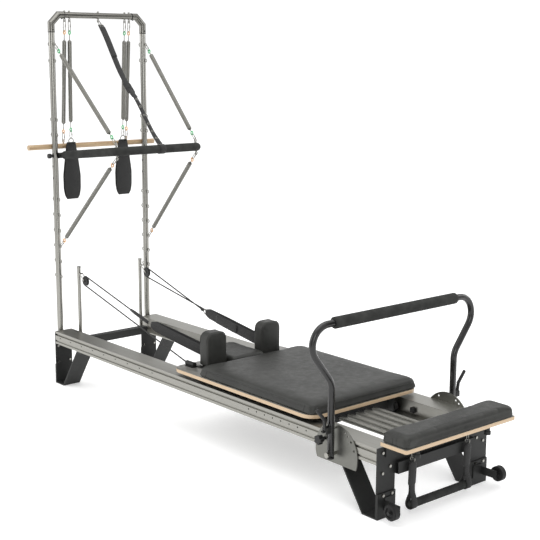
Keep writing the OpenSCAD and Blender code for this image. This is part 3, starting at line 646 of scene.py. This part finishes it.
def hung_spring(name, low, high, h0, h1, colours, where, nodes, diameter=0.023, wire=0.0017, neck=0.034):
    """Spring from the lower eye to the upper eye; colours are for its lower and upper eyelets."""
    length = (high - low).length
    m = Matrix.Translation(low) @ line_frame(low, high)
    c0, c1 = h0 - 0.0043, length - h1 + 0.0043
    metal = join(snap_hook(0, h0, True), snap_hook(length - h1, length),
                 tube([(0, 0, c0 + 0.019), (0, 0, c0 + neck + 0.003)], 0.0022, 8),
                 tube([(0, 0, c1 - neck - 0.003), (0, 0, c1 - 0.019)], 0.0022, 8),
                 coil(c0 + neck, c1 - neck, diameter / 2, wire))
    steel = piece(name + "_coil", *moved(metal, m), SPRING_WIRE)
    settle(steel, nodes=nodes, slot="spring_steel", **where)
    for end, z, colour in (("low", c0 + 0.0095, colours[0]), ("high", c1 - 0.0095, colours[1])):
        ring = piece(name + "_eyelet_" + end, *moved(eyelet(z), m), colour)
        settle(ring, slot="spring_steel", **where)
    print(name, "coil", round(c1 - c0 - 2 * neck, 3), "m,", len(steel.data.vertices), "points")


# %% Tower springs
UP_X, UP_Y, TOP_EYE = -0.022, 0.285, 1.9391
PIVOT_Z, TILT = 1.235, math.radians(6)
PUSH_ARM, PUSH_Y = 0.570, 0.24510
EYE_BACK, EYE_RISE = 0.034, 0.0335


def on_push_bar(x, y, z=0.0):
    """A point of the push bar, from its pivot: along the arm, across, and above it."""
    return at(UP_X + x * math.cos(TILT) - z * math.sin(TILT), y,
              PIVOT_Z + x * math.sin(TILT) + z * math.cos(TILT))


for name, side in (("near", -1), ("far", 1)):
    up_eye = at(UP_X + 0.028, side * UP_Y, 1.815)
    low_eye = at(UP_X + 0.028, side * UP_Y, 0.752)
    bar_x = UP_X + PUSH_ARM * math.cos(TILT) - EYE_BACK
    bar_z = PIVOT_Z + (PUSH_ARM - EYE_BACK) * math.sin(TILT)
    over, under = (at(bar_x, side * PUSH_Y, bar_z + s * EYE_RISE) for s in (1, -1))
    hung_spring("push_spring_upper_" + name, over, up_eye, 0.046, 0.046, (GREEN, GREEN),
                {"bend": ("frame", "push_bar", up_eye, over)}, ["push_bar_springs"])
    hung_spring("push_spring_lower_" + name, low_eye, under, 0.046, 0.046, (TAN, TAN),
                {"bend": ("frame", "push_bar", low_eye, under)}, ["push_bar_springs"])
roll_x = -0.0524
for name, y_top, y_low in (("near", -0.205, -0.215), ("far", 0.196, 0.184)):
    low, high = at(roll_x, y_low, 1.307), at(UP_X, y_top, TOP_EYE)
    hung_spring("roll_spring_" + name, low, high, 0.046, 0.058, (TAN, TAN),
                {"bend": ("roll_hanger", "roll_down_bar", high, low)}, ["roll_springs"], neck=0.050)
for name, y_top, y_low in (("near", -0.176, -0.186), ("far", 0.168, 0.142)):
    low, high = at(UP_X, y_low, 1.323), at(UP_X, y_top, TOP_EYE)
    hung_spring("loop_spring_" + name, low, high, 0.040, 0.058, (GREEN, GREEN),
                {"bend": ("loop_hanger_" + name, "hand_loop_" + name, high, low)},
                ["loop_spring_" + name], neck=0.050)

# %% Carriage springs
BAR_X, HOOK_X, SPRING_Z = 2.360, 1.985, 0.264
for i in range(5):
    y = -0.020 + (i - 2) * 0.050
    start, end = HOOK_X + 0.010, BAR_X - 0.014
    m = Matrix.Translation(at(start, y, SPRING_Z)) @ Matrix.Rotation(math.pi / 2, 4, "Y")
    length = end - start
    hook = [(0, 0.0, length - 0.004), (0, 0.004, length), (0, 0.0095, length + 0.008),
            (0, 0.0075, length + 0.019), (0, -0.0010, length + 0.0245), (0, -0.0090, length + 0.019)]
    turn = Matrix.Rotation(math.pi / 2, 4, "Z")
    wire = join(coil(0.004, length - 0.006, 0.011, 0.0014),
                moved(tube(curve_points(hook, 5), 0.002, 8), turn),
                tube([(0, 0, -0.004), (0, 0, 0.006)], 0.0024, 8))
    spring = piece("carriage_spring_%d" % (i + 1), *moved(wire, m), SPRING_WIRE)
    settle(spring, nodes=["carriage_springs"], slot="spring_steel",
           bend=("frame", "carriage", at(BAR_X - 0.02, y, SPRING_Z), at(HOOK_X + 0.02, y, SPRING_Z)))
print("five carriage springs")

# %% [markdown]
# ## Safety strap
# A snap hook, a length of webbing, a buckle, then narrower webbing with metal grommets that wraps
# round the push bar. Each is its own mesh.

# %% Safety strap
strap_line = [at(0.002, 0, 1.918), at(0.060, 0, 1.846), at(0.120, 0, 1.761), at(0.188, 0, 1.670),
              at(0.262, 0, 1.592), at(0.317, 0, 1.548), at(0.370, 0, 1.492), at(0.428, 0, 1.423),
              at(0.480, 0, 1.366), at(0.534, 0, 1.3200)]
strap_bend = ("frame", "push_bar", strap_line[0], strap_line[-1])
upper_web = curve_points(strap_line[:6], 8)
lower_web = curve_points(strap_line[4:], 8)
ACROSS = (0, 1, 0)
doubled = upper_web[2:18] + np.array((0.0032, 0, 0.0024))
web = piece("safety_strap_upper", *join(band(upper_web, 0.034, 0.0028, ACROSS),
                                        band(doubled, 0.036, 0.0028, ACROSS)), WEBBING)
settle(web, nodes=["safety_strap"], slot="webbing", bend=strap_bend)
last = len(lower_web) - 1
width = np.interp(np.arange(last + 1), [0, last - 11, last], [0.024, 0.025, 0.034])
web = piece("safety_strap_lower", *band(lower_web, width, 0.0032, ACROSS), WEBBING)
settle(web, slot="webbing", bend=strap_bend)
wrap = hoop(on_push_bar(PUSH_ARM, 0), 0.0235, 32)
web = piece("safety_strap_wrap", *band(wrap, 0.033, 0.0026, ACROSS, True), WEBBING)
settle(web, slot="webbing", bend=strap_bend)
hook_m = Matrix.Translation(strap_line[0]) @ line_frame(strap_line[0], at(UP_X, 0, TOP_EYE))
hook_l = (at(UP_X, 0, TOP_EYE) - strap_line[0]).length
hook = piece("safety_strap_hook", *moved(snap_hook(-0.020, hook_l), hook_m), SPRING_WIRE)
settle(hook, slot="bright_steel", bend=strap_bend)


def frame_link(centre, along, w, h, wire):
    """Rectangular wire link, w across and h along the strap."""
    a = Vector(along).normalized()
    b = Vector((0, 1, 0))
    corners = [centre + a * (s * h / 2) + b * (t * w / 2)
               for s, t in ((-1, -1), (-1, 1), (1, 1), (1, -1))]
    path = []
    for i, c in enumerate(corners):
        before, after = c.lerp(corners[i - 1], 0.12), c.lerp(corners[(i + 1) % 4], 0.12)
        path += [before, c.lerp(before.lerp(after, 0.5), 0.6), after]
    return tube(path, wire, 8, True)


slope = (strap_line[5] - strap_line[3]).normalized()
mid = strap_line[4]
buckle = join(frame_link(mid - slope * 0.020, slope, 0.042, 0.026, 0.0028),
              frame_link(mid + slope * 0.014, slope, 0.042, 0.040, 0.0028),
              tube([mid + Vector((0, -0.020, 0)), mid + Vector((0, 0.020, 0))], 0.0034, 8))
buckle = piece("safety_strap_buckle", *buckle, MOULDED)
settle(buckle, slot="webbing", bend=strap_bend)
grommets = []
for k in (10, 15, 20, 25, 30, 35):
    c = Vector(lower_web[k])
    d = (Vector(lower_web[k + 1]) - c).normalized()
    y = Vector(ACROSS)
    n = d.cross(y)
    for s in (-1, 1):
        o = c + n * s * 0.0016
        grommets.append(tube([o + d * 0.0055 * math.cos(a) + y * 0.0055 * math.sin(a)
                              for a in np.linspace(0, 2 * math.pi, 17)[:-1]], 0.0018, 6, True))
grommets = piece("safety_strap_grommets", *join(*grommets), SPRING_WIRE)
settle(grommets, slot="bright_steel", bend=strap_bend)
length = np.linalg.norm(np.diff(upper_web, axis=0), axis=1).sum()
print("safety strap", round(float(length), 3), "m above its buckle")

# %% [markdown]
# ## Hanging loops
# A padded band folded in two hangs from a round ring. It is wide where the foot sits and narrow at
# the ring. The band is swept around its fold with the width changing along it, and a fine bound
# edge is stitched down both sides.

# %% Hanging loops
def hanging_loop(name, y, body):
    c = at(UP_X, y, 1.315)
    half = [(-0.016, 0.0010), (-0.035, 0.0035), (-0.08, 0.0065), (-0.15, 0.0082), (-0.22, 0.0086),
            (-0.285, 0.0082), (-0.305, 0.0066), (-0.3145, 0.0030)]
    loop = half + [(z, -x) for z, x in reversed(half)]
    path = curve_points([c + Vector((x, 0, z)) for z, x in loop], 6, True)
    depth = c.z - path[:, 2]
    width = np.interp(depth, [0.0, 0.02, 0.08, 0.19, 0.262, 0.295, 0.316],
                      [0.046, 0.050, 0.066, 0.094, 0.092, 0.080, 0.060])
    cloth = piece("loop_band_" + name, *band(path, width, 0.0034, ACROSS, True), SLEEVE_CLOTH)
    settle(cloth, body, ["loop_" + name], "webbing")
    edges = []
    for s in (-1, 1):
        edge = path.copy()
        edge[:, 1] += s * (width / 2 - 0.0006)
        edges.append(tube(edge, 0.0023, 6, True))
    bound = piece("loop_binding_" + name, *join(*edges), WEBBING)
    settle(bound, body, slot="webbing")
    ring = [c + Vector((0, 0.0140 * math.cos(a), -0.006 + 0.0140 * math.sin(a)))
            for a in np.linspace(0, 2 * math.pi, 33)[:-1]]
    metal = piece("loop_ring_" + name, *tube(ring, 0.0025, 8, True), SPRING_WIRE)
    settle(metal, body, slot="bright_steel")
    collar = band([c + Vector((0, 0.0165 * math.cos(a), -0.0205 + 0.0070 * math.sin(a)))
                   for a in np.linspace(0, 2 * math.pi, 17)[:-1]], 0.015, 0.0028, (1, 0, 0), True)
    collar = piece("loop_collar_" + name, *collar, WEBBING)
    settle(collar, body, slot="webbing")
    print("loop", name, "hangs", round(float(depth.max()), 3), "m, widest", round(float(width.max()), 3))


hanging_loop("near", -0.186, "hand_loop_near")
hanging_loop("far", 0.142, "hand_loop_far")

# %% [markdown]
# ## Foot strap under the platform
# Two links hang from eyes under the standing platform. Below them come padded tabs, then webbing
# that goes round a padded tube near the floor.

# %% Foot strap
STRAP = at(2.456, 0, 0.034)
STRAP_HALF, STRAP_R = 0.1765, 0.0170
for name, side in (("near", -1), ("far", 1)):
    y = side * 0.165
    c = Vector((STRAP.x, y, 0))
    link = moved(snap_hook(0, 0.064), Matrix.Translation(c + Vector((0, 0, 0.226))))
    ring = tube(hoop(c + Vector((0, 0, 0.222)), 0.012), 0.002, 8, True)
    metal = piece("foot_strap_link_" + name, *join(link, ring), SPRING_WIRE)
    settle(metal, "standing_strap", ["foot_strap"], "bright_steel")
    tab = curve_points([c + Vector((x, 0, z)) for x, z in
                        ((0.0005, 0.2125), (0.0015, 0.204), (0.0010, 0.165),
                         (-0.0005, 0.128), (0.0, 0.113))], 6)
    wide = np.interp(tab[:, 2], [0.113, 0.121, 0.200, 0.2125], [0.030, 0.041, 0.041, 0.024])
    padded = piece("foot_strap_tab_" + name, *band(tab, wide, 0.0130, ACROSS), SLEEVE_CLOTH)
    settle(padded, "standing_strap", slot="webbing")
    half = [(0.0140, 0.0215), (0.0195, 0.036), (0.0120, 0.062), (0.0034, 0.085), (0.0030, 0.122)]
    loop = [(-x, z) for x, z in reversed(half)] + [(0.0, 0.0160)] + half
    path = curve_points([c + Vector((x, 0, z)) for x, z in loop], 5)
    web = piece("foot_strap_web_" + name, *band(path, 0.030, 0.0034, ACROSS), WEBBING)
    settle(web, "standing_strap", slot="webbing")
ends = [(-STRAP_HALF, 0.006), (-0.1755, 0.0115), (-0.172, 0.0150), (-0.166, 0.0168)]
spots = ends + [(y, STRAP_R) for y in np.linspace(-0.15, 0.15, 13)] + [(-y, r) for y, r in reversed(ends)]
bar = piece("foot_strap_bar", *tube([STRAP + Vector((0, y, 0)) for y, r in spots],
                                    [r for y, r in spots], 24), FOAM)
settle(bar, "standing_strap", slot="webbing")
print("foot strap bar", round(2 * STRAP_HALF, 3), "m long")

# %% [markdown]
# ## Footbar
# One tube bent four times: up, flared out, then over the top. The engineering model makes it from
# straight and curved lengths; here it is a single swept skin, so no seam shows.

# %% Footbar tube and sleeve
FOOT_X, FOOT_Y, FOOT_LOW, FOOT_TOP = 2.200, 0.365, 0.199, 0.750
FOOT_R = 0.0145
foot_path = [at(FOOT_X, -FOOT_Y, FOOT_LOW), at(FOOT_X, -FOOT_Y, 0.508), at(FOOT_X, -0.5541, FOOT_TOP)]
foot_path += [Vector((v.x, -v.y, v.z)) for v in reversed(foot_path)]
bent = rounded_corners(foot_path, 0.080, 12)
bar = piece("footbar_bent_tube", *tube(bent, FOOT_R, 24), GLOSS)
ears = []
for side in (-1, 1):
    for x in (-0.012, 0.008):
        lo, hi = at(FOOT_X + x, side * 0.401, 0.307), at(FOOT_X + x + 0.004, side * 0.373, 0.333)
        ears.append((lo, hi))


def block(lo, hi, ease=0.001):
    """Box between two corners with eased edges."""
    bm = bmesh.new()
    bmesh.ops.create_cube(bm, size=1)
    for v in bm.verts:
        v.co = Vector([lo[i] + (v.co[i] + 0.5) * (hi[i] - lo[i]) for i in range(3)])
    bmesh.ops.bevel(bm, geom=bm.edges[:], offset=ease, segments=2, profile=0.5, affect="EDGES")
    bmesh.ops.recalc_face_normals(bm, faces=bm.faces)
    bm.verts.index_update()
    part = [tuple(v.co) for v in bm.verts], [tuple(v.index for v in f.verts) for f in bm.faces]
    bm.free()
    return part


def boxes(*pairs, ease=0.001):
    return join(*[block([min(a[i], b[i]) for i in range(3)], [max(a[i], b[i]) for i in range(3)], ease)
                  for a, b in pairs])


settle(bar, "footbar", ["footbar_tube"], "black_steel")
brackets = piece("footbar_lever_brackets", *boxes(*ears), POWDER)
brackets.data.set_sharp_from_angle(angle=math.radians(30))
settle(brackets, "footbar", slot="black_steel")
caps = []
for side in (-1, 1):
    c = at(FOOT_X, side * FOOT_Y, FOOT_LOW)
    caps.append(tube([c + Vector((0, 0, z)) for z in (-0.003, -0.0025, 0.0, 0.004)],
                     [0.010, 0.0135, 0.0150, 0.0150], 20))
caps = piece("footbar_end_caps", *join(*caps), MOULDED)
settle(caps, "footbar", slot="black_rubber")


def sleeve(path, radius, bore):
    """Foam sleeve whose ends round over to the tube."""
    p = np.array([tuple(v) for v in path], float)
    step = np.concatenate([[0], np.cumsum(np.linalg.norm(np.diff(p, axis=0), axis=1))])
    edge = radius - bore

    def along(s):
        return np.array([np.interp(s, step, p[:, i]) for i in range(3)])

    places = [0, 0.0008, 0.002, 0.0040] + list(np.arange(0.010, step[-1] - 0.008, 0.012))
    places = sorted(set(places + [step[-1] - s for s in (0, 0.0008, 0.002, 0.0040)]))
    gap = [min(s, step[-1] - s) for s in places]
    r = [radius - edge * 0.45 * (1 - min(g / 0.004, 1)) ** 2 for g in gap]
    return tube([along(s) for s in places], r, 32)


grip = [at(FOOT_X, -0.358, FOOT_TOP), at(FOOT_X, 0.358, FOOT_TOP)]
foam_bar = piece("footbar_foam_sleeve", *sleeve(grip, 0.024, FOOT_R), FOAM)
settle(foam_bar, "footbar", ["footbar_sleeve"], "foam_sleeve")
print("footbar", round(float(np.linalg.norm(np.diff(bent, axis=0), axis=1).sum()), 3), "m of tube")

# %% [markdown]
# ## Push bar sleeve and its ends
# The push bar's foam runs from pivot to pivot, round both corners. Its spring eyes are plated, not
# painted, so they get their own small parts over the painted shanks.

# %% Push bar
inner = [on_push_bar(x, y) for x, y in
         ((0.030, -PUSH_Y), (PUSH_ARM, -PUSH_Y), (PUSH_ARM, PUSH_Y), (0.030, PUSH_Y))]
push_foam = piece("push_bar_foam_sleeve", *sleeve(rounded_corners(inner, 0.040, 10), 0.0215, 0.0140), FOAM)
settle(push_foam, "push_bar", ["push_bar_sleeve"], "foam_sleeve")
eyes = []
for side in (-1, 1):
    for up in (-1, 1):
        def on_arm(h):
            return on_push_bar(PUSH_ARM - EYE_BACK, side * PUSH_Y, up * h)

        eyes.append(tube(hoop(on_arm(EYE_RISE), 0.008), 0.0027, 10, True))
        eyes.append(tube([on_arm(h) for h in (0.020, 0.0215, 0.0235)], [0.0085, 0.0085, 0.0065], 6))
        eyes.append(tube([on_arm(h) for h in (0.0225, 0.0262)], 0.0033, 10))
eyes = piece("push_bar_spring_eyes", *join(*eyes), STAINLESS)
settle(eyes, "push_bar", slot="bright_steel")
print("push bar sleeve and eyes")

# %% [markdown]
# ## Tower corners
# The corners are mitred fittings: upright, short diagonal, cross tube, with a dark ring where each
# sleeve ends. A bent tube would be simpler, but the flat cuts are what the eye reads here.

# %% Mitred elbows
TOP, ELBOW, TUBE = 1.965, 0.062, 0.0179
RING_AT, RING_R = (-0.0022, -0.0015, 0.0015, 0.0022), [0.0172, 0.0184, 0.0184, 0.0178]
SCREW_AT, SCREW_R = (-0.0215, -0.0205, -0.017), [0.003, 0.0042, 0.0042]
cut = ELBOW * math.tan(math.radians(22.5))


def mitred(path, radius, sides=32):
    """Round tube with sharp mitred corners: each corner ring lies in its mitre plane."""
    p = [np.array(tuple(v), float) for v in path]
    rings = []
    for i, c in enumerate(p):
        d0 = (c - p[i - 1]) if i else p[1] - c
        d1 = (p[i + 1] - c) if i < len(p) - 1 else c - p[i - 1]
        d0, d1 = d0 / np.linalg.norm(d0), d1 / np.linalg.norm(d1)
        normal = (d0 + d1) / np.linalg.norm(d0 + d1)
        x = np.array((1.0, 0, 0))
        y = np.cross(d0, x)
        ring = []
        for a in np.arange(sides) * 2 * math.pi / sides:
            q = radius * (math.cos(a) * x + math.sin(a) * y)
            ring.append(c + q - d0 * (q.dot(normal) / d0.dot(normal)))
        rings.append(np.array(ring))
    return loft(rings)


for name, side in (("near", -1), ("far", 1)):
    y0 = side * UP_Y
    route = [at(UP_X, y0, TOP - ELBOW - 0.026), at(UP_X, y0, TOP - ELBOW + cut * 0.75),
             at(UP_X, y0 - side * (ELBOW - cut * 0.75), TOP), at(UP_X, y0 - side * (ELBOW + 0.012), TOP)]
    # The elbows take the darker stainless copy, which is painted shade.
    elbow = piece("tower_elbow_" + name, *mitred(route, TUBE), STAINLESS_PAINTED_SHADE)
    elbow.data.set_sharp_from_angle(angle=math.radians(18))
    settle(elbow, "frame", ["tower_elbows"], "bright_steel")
    rings = join(tube([route[0] + Vector((0, 0, z)) for z in RING_AT], RING_R, 32),
                 tube([route[-1] + Vector((0, side * z, 0)) for z in RING_AT], RING_R, 32),
                 tube([route[-1] + Vector((0, side * 0.010, z)) for z in SCREW_AT], SCREW_R, 6),
                 tube([route[0] + Vector((-z, 0, 0.012)) for z in SCREW_AT], SCREW_R, 6))
    rings = piece("tower_elbow_rings_" + name, *rings, POWDER)
    settle(rings, "frame", slot="black_steel")
print("tower elbows mitred")

# %% [markdown]
# ## Upholstery
# A pad is a foam block under stretched vinyl. Its outline is extruded with rounded rims, remeshed
# evenly, then inflated for a few frames as cloth under pressure. That crowns the faces and leaves
# the corners tight. The underside stays flat on its board, so only the free faces swell.

# %% Pads
def outline(w, h, r, steps=8, top_only=False):
    """Rounded rectangle outline, counter-clockwise, centred."""
    pts = []
    for cx, cy, a0 in ((1, 1, 0), (-1, 1, 90), (-1, -1, 180), (1, -1, 270)):
        rr = 0.004 if top_only and cy < 0 else r
        for a in np.radians(np.linspace(a0, a0 + 90, steps)):
            pts.append((cx * (w / 2 - rr) + rr * math.cos(a), cy * (h / 2 - rr) + rr * math.sin(a)))
    return pts


def cushion(name, pts, place, depth, rim, voxel, body, nodes, flat, cap=0.005, pressure=4.0, rim_low=0.003):
    """Outline pts (u, v) extruded by depth along w; place(u, v, w) gives the point."""
    rings = []
    centre = (np.max(pts, axis=0) + np.min(pts, axis=0)) / 2

    def inset(amount):
        p = np.array(pts)
        half = (p.max(axis=0) - p.min(axis=0)) / 2
        return centre + (p - centre) * (half - amount) / half

    profile = []
    for a in np.radians((0, 30, 60, 90)):
        profile.append((rim_low * (1 - math.sin(a)), rim_low * (1 - math.cos(a))))
    for a in np.radians((0, 18, 36, 54, 72, 90)):
        profile.append((rim * (1 - math.cos(a)), depth - rim * (1 - math.sin(a))))
    for cut_in, w in profile:
        rings.append(np.array([place(u, v, w) for u, v in inset(cut_in)]))
    verts, faces = loft(rings)
    obj = piece(name, verts, faces, VINYL)
    remesh = obj.modifiers.new("even", "REMESH")
    remesh.mode, remesh.voxel_size = "VOXEL", voxel
    remesh.use_smooth_shade = True
    bpy.context.view_layer.update()
    mesh = bpy.data.meshes.new_from_object(obj.evaluated_get(bpy.context.evaluated_depsgraph_get()))
    obj.modifiers.clear()
    obj.data = mesh
    start = np.array([tuple(v.co) for v in mesh.vertices])
    cloth = obj.modifiers.new("vinyl", "CLOTH")
    cloth.settings.use_pressure = True
    cloth.settings.uniform_pressure_force = pressure
    cloth.settings.tension_stiffness = cloth.settings.compression_stiffness = 20
    cloth.settings.bending_stiffness = 2
    cloth.settings.effector_weights.gravity = 0
    cloth.settings.quality = 5
    cloth.point_cache.frame_start, cloth.point_cache.frame_end = 1, 20
    scene = bpy.context.scene
    for f in range(1, 21):
        scene.frame_set(f)
    puffed = bpy.data.meshes.new_from_object(obj.evaluated_get(bpy.context.evaluated_depsgraph_get()))
    obj.modifiers.clear()
    obj.data = puffed
    scene.frame_set(1)
    end = np.array([tuple(v.co) for v in puffed.vertices])
    move = end - start
    size = np.linalg.norm(move, axis=1, keepdims=True)
    move *= np.minimum(1, cap / np.maximum(size, 1e-9))
    move *= np.array([[flat(p)] for p in start])
    for v, p in zip(puffed.vertices, start + move):
        v.co = p
    obj.data.materials.clear()
    obj.data.materials.append(VINYL)
    smooth = obj.modifiers.new("soft", "SUBSURF")
    smooth.levels = smooth.render_levels = 1
    bpy.context.view_layer.update()
    mesh = bpy.data.meshes.new_from_object(obj.evaluated_get(bpy.context.evaluated_depsgraph_get()))
    obj.modifiers.clear()
    obj.data = mesh
    obj.data.materials.clear()
    obj.data.materials.append(VINYL)
    obj.data.polygons.foreach_set("use_smooth", [True] * len(obj.data.polygons))
    settle(obj, body, nodes, "vinyl")
    print(name, len(obj.data.vertices), "vertices")
    return obj


def seam_line(pad, starts, direction, radius=0.0011, lift=0.0003):
    """Thin welt laid on the pad: each start point is cast along direction onto its skin."""
    tree = BVHTree.FromObject(pad, bpy.context.evaluated_depsgraph_get())
    hits = []
    for p in starts:
        hit, normal = tree.ray_cast(Vector(p), Vector(direction))[:2]
        if hit is not None:
            hits.append(hit + normal * lift)
    return tube(hits, radius, 6) if len(hits) > 2 else None


def slab_pad(name, x0, x1, w, z0, thick, r, voxel, body, rim=0.018, cap=0.008, sides=True, low=0.004):
    cx, dx = (x0 + x1) / 2, x1 - x0
    under = 0.0025
    pts = outline(dx - 2 * under, w - 2 * under, r)
    pad = cushion(name + "_cover", pts, lambda u, v, h: at(cx + u, v, z0 + h), thick - 0.001, rim, voxel,
                  body, [name], lambda p: float(np.clip((p[2] - z0 - 0.004) / 0.018, 0, 1)), cap, rim_low=low)
    lines = []
    for sx in (-1, 1):
        for sy in (-1, 1):
            for gap in (r * 0.35, r * 0.35 + 0.052):
                x = cx + sx * (dx / 2 - max(gap, 0.006))
                starts = [at(x, sy * (w / 2 + 0.05), z0 + h) for h in np.linspace(0.004, thick - 0.010, 12)]
                lines.append(seam_line(pad, starts, (0, -sy, 0)))
            y = sy * (w / 2 - max(r * 0.35, 0.006))
            starts = [at(cx + sx * (dx / 2 + 0.05), y, z0 + h) for h in np.linspace(0.004, thick - 0.010, 12)]
            lines.append(seam_line(pad, starts, (-sx, 0, 0)))
    lines = [l for l in lines if l]
    if sides and lines:
        welt = piece(name + "_seams", *join(*lines), SEAM)
        settle(welt, body, slot="vinyl")
    return pad


slab_pad("carriage_pad", 1.260, 2.047, 0.646, 0.322, 0.044, 0.030, 0.008, "carriage")
slab_pad("headrest_pad", 0.992, 1.259, 0.202, 0.3343, 0.030, 0.024, 0.0055, "headrest", 0.010, 0.004)
slab_pad("platform_pad", 2.432, 2.570, 0.652, 0.322, 0.044, 0.020, 0.0055, "frame", 0.017, 0.006)

# %% [markdown]
# A shoulder rest stands on edge, so its outline is the face seen from the head: rounded at the top
# corners, nearly square below. Two welts run round it, where the edge strip meets the faces.

# %% Shoulder rests
REST_W, REST_H, REST_DEPTH = 0.120, 0.162, 0.064
for name, side in (("near", -1), ("far", 1)):
    cy, cz = side * REST_Y, (0.3313 + 0.4933) / 2
    pts = outline(REST_W - 0.004, REST_H - 0.004, 0.034, 10, top_only=True)
    rest = cushion("shoulder_rest_cover_" + name, pts,
                   lambda u, v, h: at(REST_X - REST_DEPTH / 2 + h, cy + u, cz + v), REST_DEPTH, 0.007, 0.005,
                   "rest_" + name, ["shoulder_rest_" + name],
                   lambda p: float(np.clip((p[2] - 0.335) / 0.02, 0, 1)), 0.0022, 1.2, rim_low=0.007)
    welts = []
    grow = outline(REST_W + 0.08, REST_H + 0.08, 0.070, 10, top_only=True)
    for x in (1.1615, 1.2085):
        tree = BVHTree.FromObject(rest, bpy.context.evaluated_depsgraph_get())
        ring = []
        for u, v in grow:
            if v < -0.083:
                continue
            start = at(x, cy + u, cz + v)
            aim = (at(x, cy, cz) - start).normalized()
            hit, normal = tree.ray_cast(start, aim)[:2]
            if hit is not None:
                ring.append(hit + normal * 0.0003)
        ring.sort(key=lambda q: math.atan2(q.z - cz + 0.2, q.y - cy))
        if len(ring) > 3:
            welts.append(tube(curve_points(ring, 3), 0.0013, 6))
    welts = piece("shoulder_rest_welts_" + name, *join(*welts), SEAM)
    settle(welts, "rest_" + name, slot="vinyl")
print("shoulder rests covered")

# %% [markdown]
# ## Floor and light
# A pale floor, one broad light over the object, one from the camera's left and a weak fill keep the
# shadows soft and still leave clean streaks on the steel.

# %% Floor and lights
def floor():
    f = Finish("pale_floor", (0.86, 0.86, 0.86), 0.75)
    cloud = f.noise(f.point(), 2.0, 3)
    f.set("Base Color", f.between(cloud, (0.84, 0.84, 0.84), (0.88, 0.88, 0.88)))
    f.set("Roughness", f.spread(cloud, 0.3, 0.7, 0.72, 0.8))
    f.shader.inputs["Emission Color"].default_value = (1, 1, 1, 1)
    f.shader.inputs["Emission Strength"].default_value = 0.30
    ground = piece("floor", [(-60, -60, 0), (60, -60, 0), (60, 60, 0), (-60, 60, 0)], [(0, 1, 2, 3)], f.mat)


floor()


def soft_light(name, place, aim, size, power, tall=None):
    data = bpy.data.lights.new(name, "AREA")
    data.shape, data.size, data.size_y, data.energy = "RECTANGLE", size, tall or size, power
    obj = bpy.data.objects.new(name, data)
    bpy.context.scene.collection.objects.link(obj)
    obj.location = place
    obj.rotation_euler = (Vector(aim) - Vector(place)).to_track_quat("-Z", "Y").to_euler()
    return obj


soft_light("top", (0.2, -0.4, 4.6), (0, 0, 0), 4.2, 90)
soft_light("front_left", (-3.0, -4.2, 2.6), (0, 0, 0.5), 2.2, 40)
soft_light("front_right", (4.4, -2.4, 2.2), (0.4, 0, 0.5), 2.0, 30)
soft_light("back", (1.0, 4.2, 2.4), (0, 0, 0.6), 2.4, 30)


def dark_flag(angle, width):
    """Tall dark panel that only reflections see, so polished tubes show dark streaks."""
    a = math.radians(angle)
    c = Vector((5.2 * math.cos(a), 5.2 * math.sin(a), 0))
    d = Vector((-math.sin(a), math.cos(a), 0)) * width / 2
    up = Vector((0, 0, 4.5))
    flag = piece("flag_%d" % (angle % 360), [c - d, c + d, c + d + up, c - d + up], [(0, 1, 2, 3)], POWDER)
    flag.visible_camera = flag.visible_diffuse = flag.visible_shadow = flag.visible_transmission = False


for angle, width in ((-75, 1.5), (-12, 1.3), (35, 1.6), (100, 1.5), (165, 1.8)):
    dark_flag(angle, width)
world = bpy.context.scene.world or bpy.data.worlds.new("studio")
bpy.context.scene.world = world
world.use_nodes = True
back = world.node_tree.nodes["Background"]
back.inputs["Color"].default_value = (1, 1, 1, 1)
back.inputs["Strength"].default_value = 1.08
bpy.context.scene.view_settings.view_transform = "Standard"
print("lights placed")
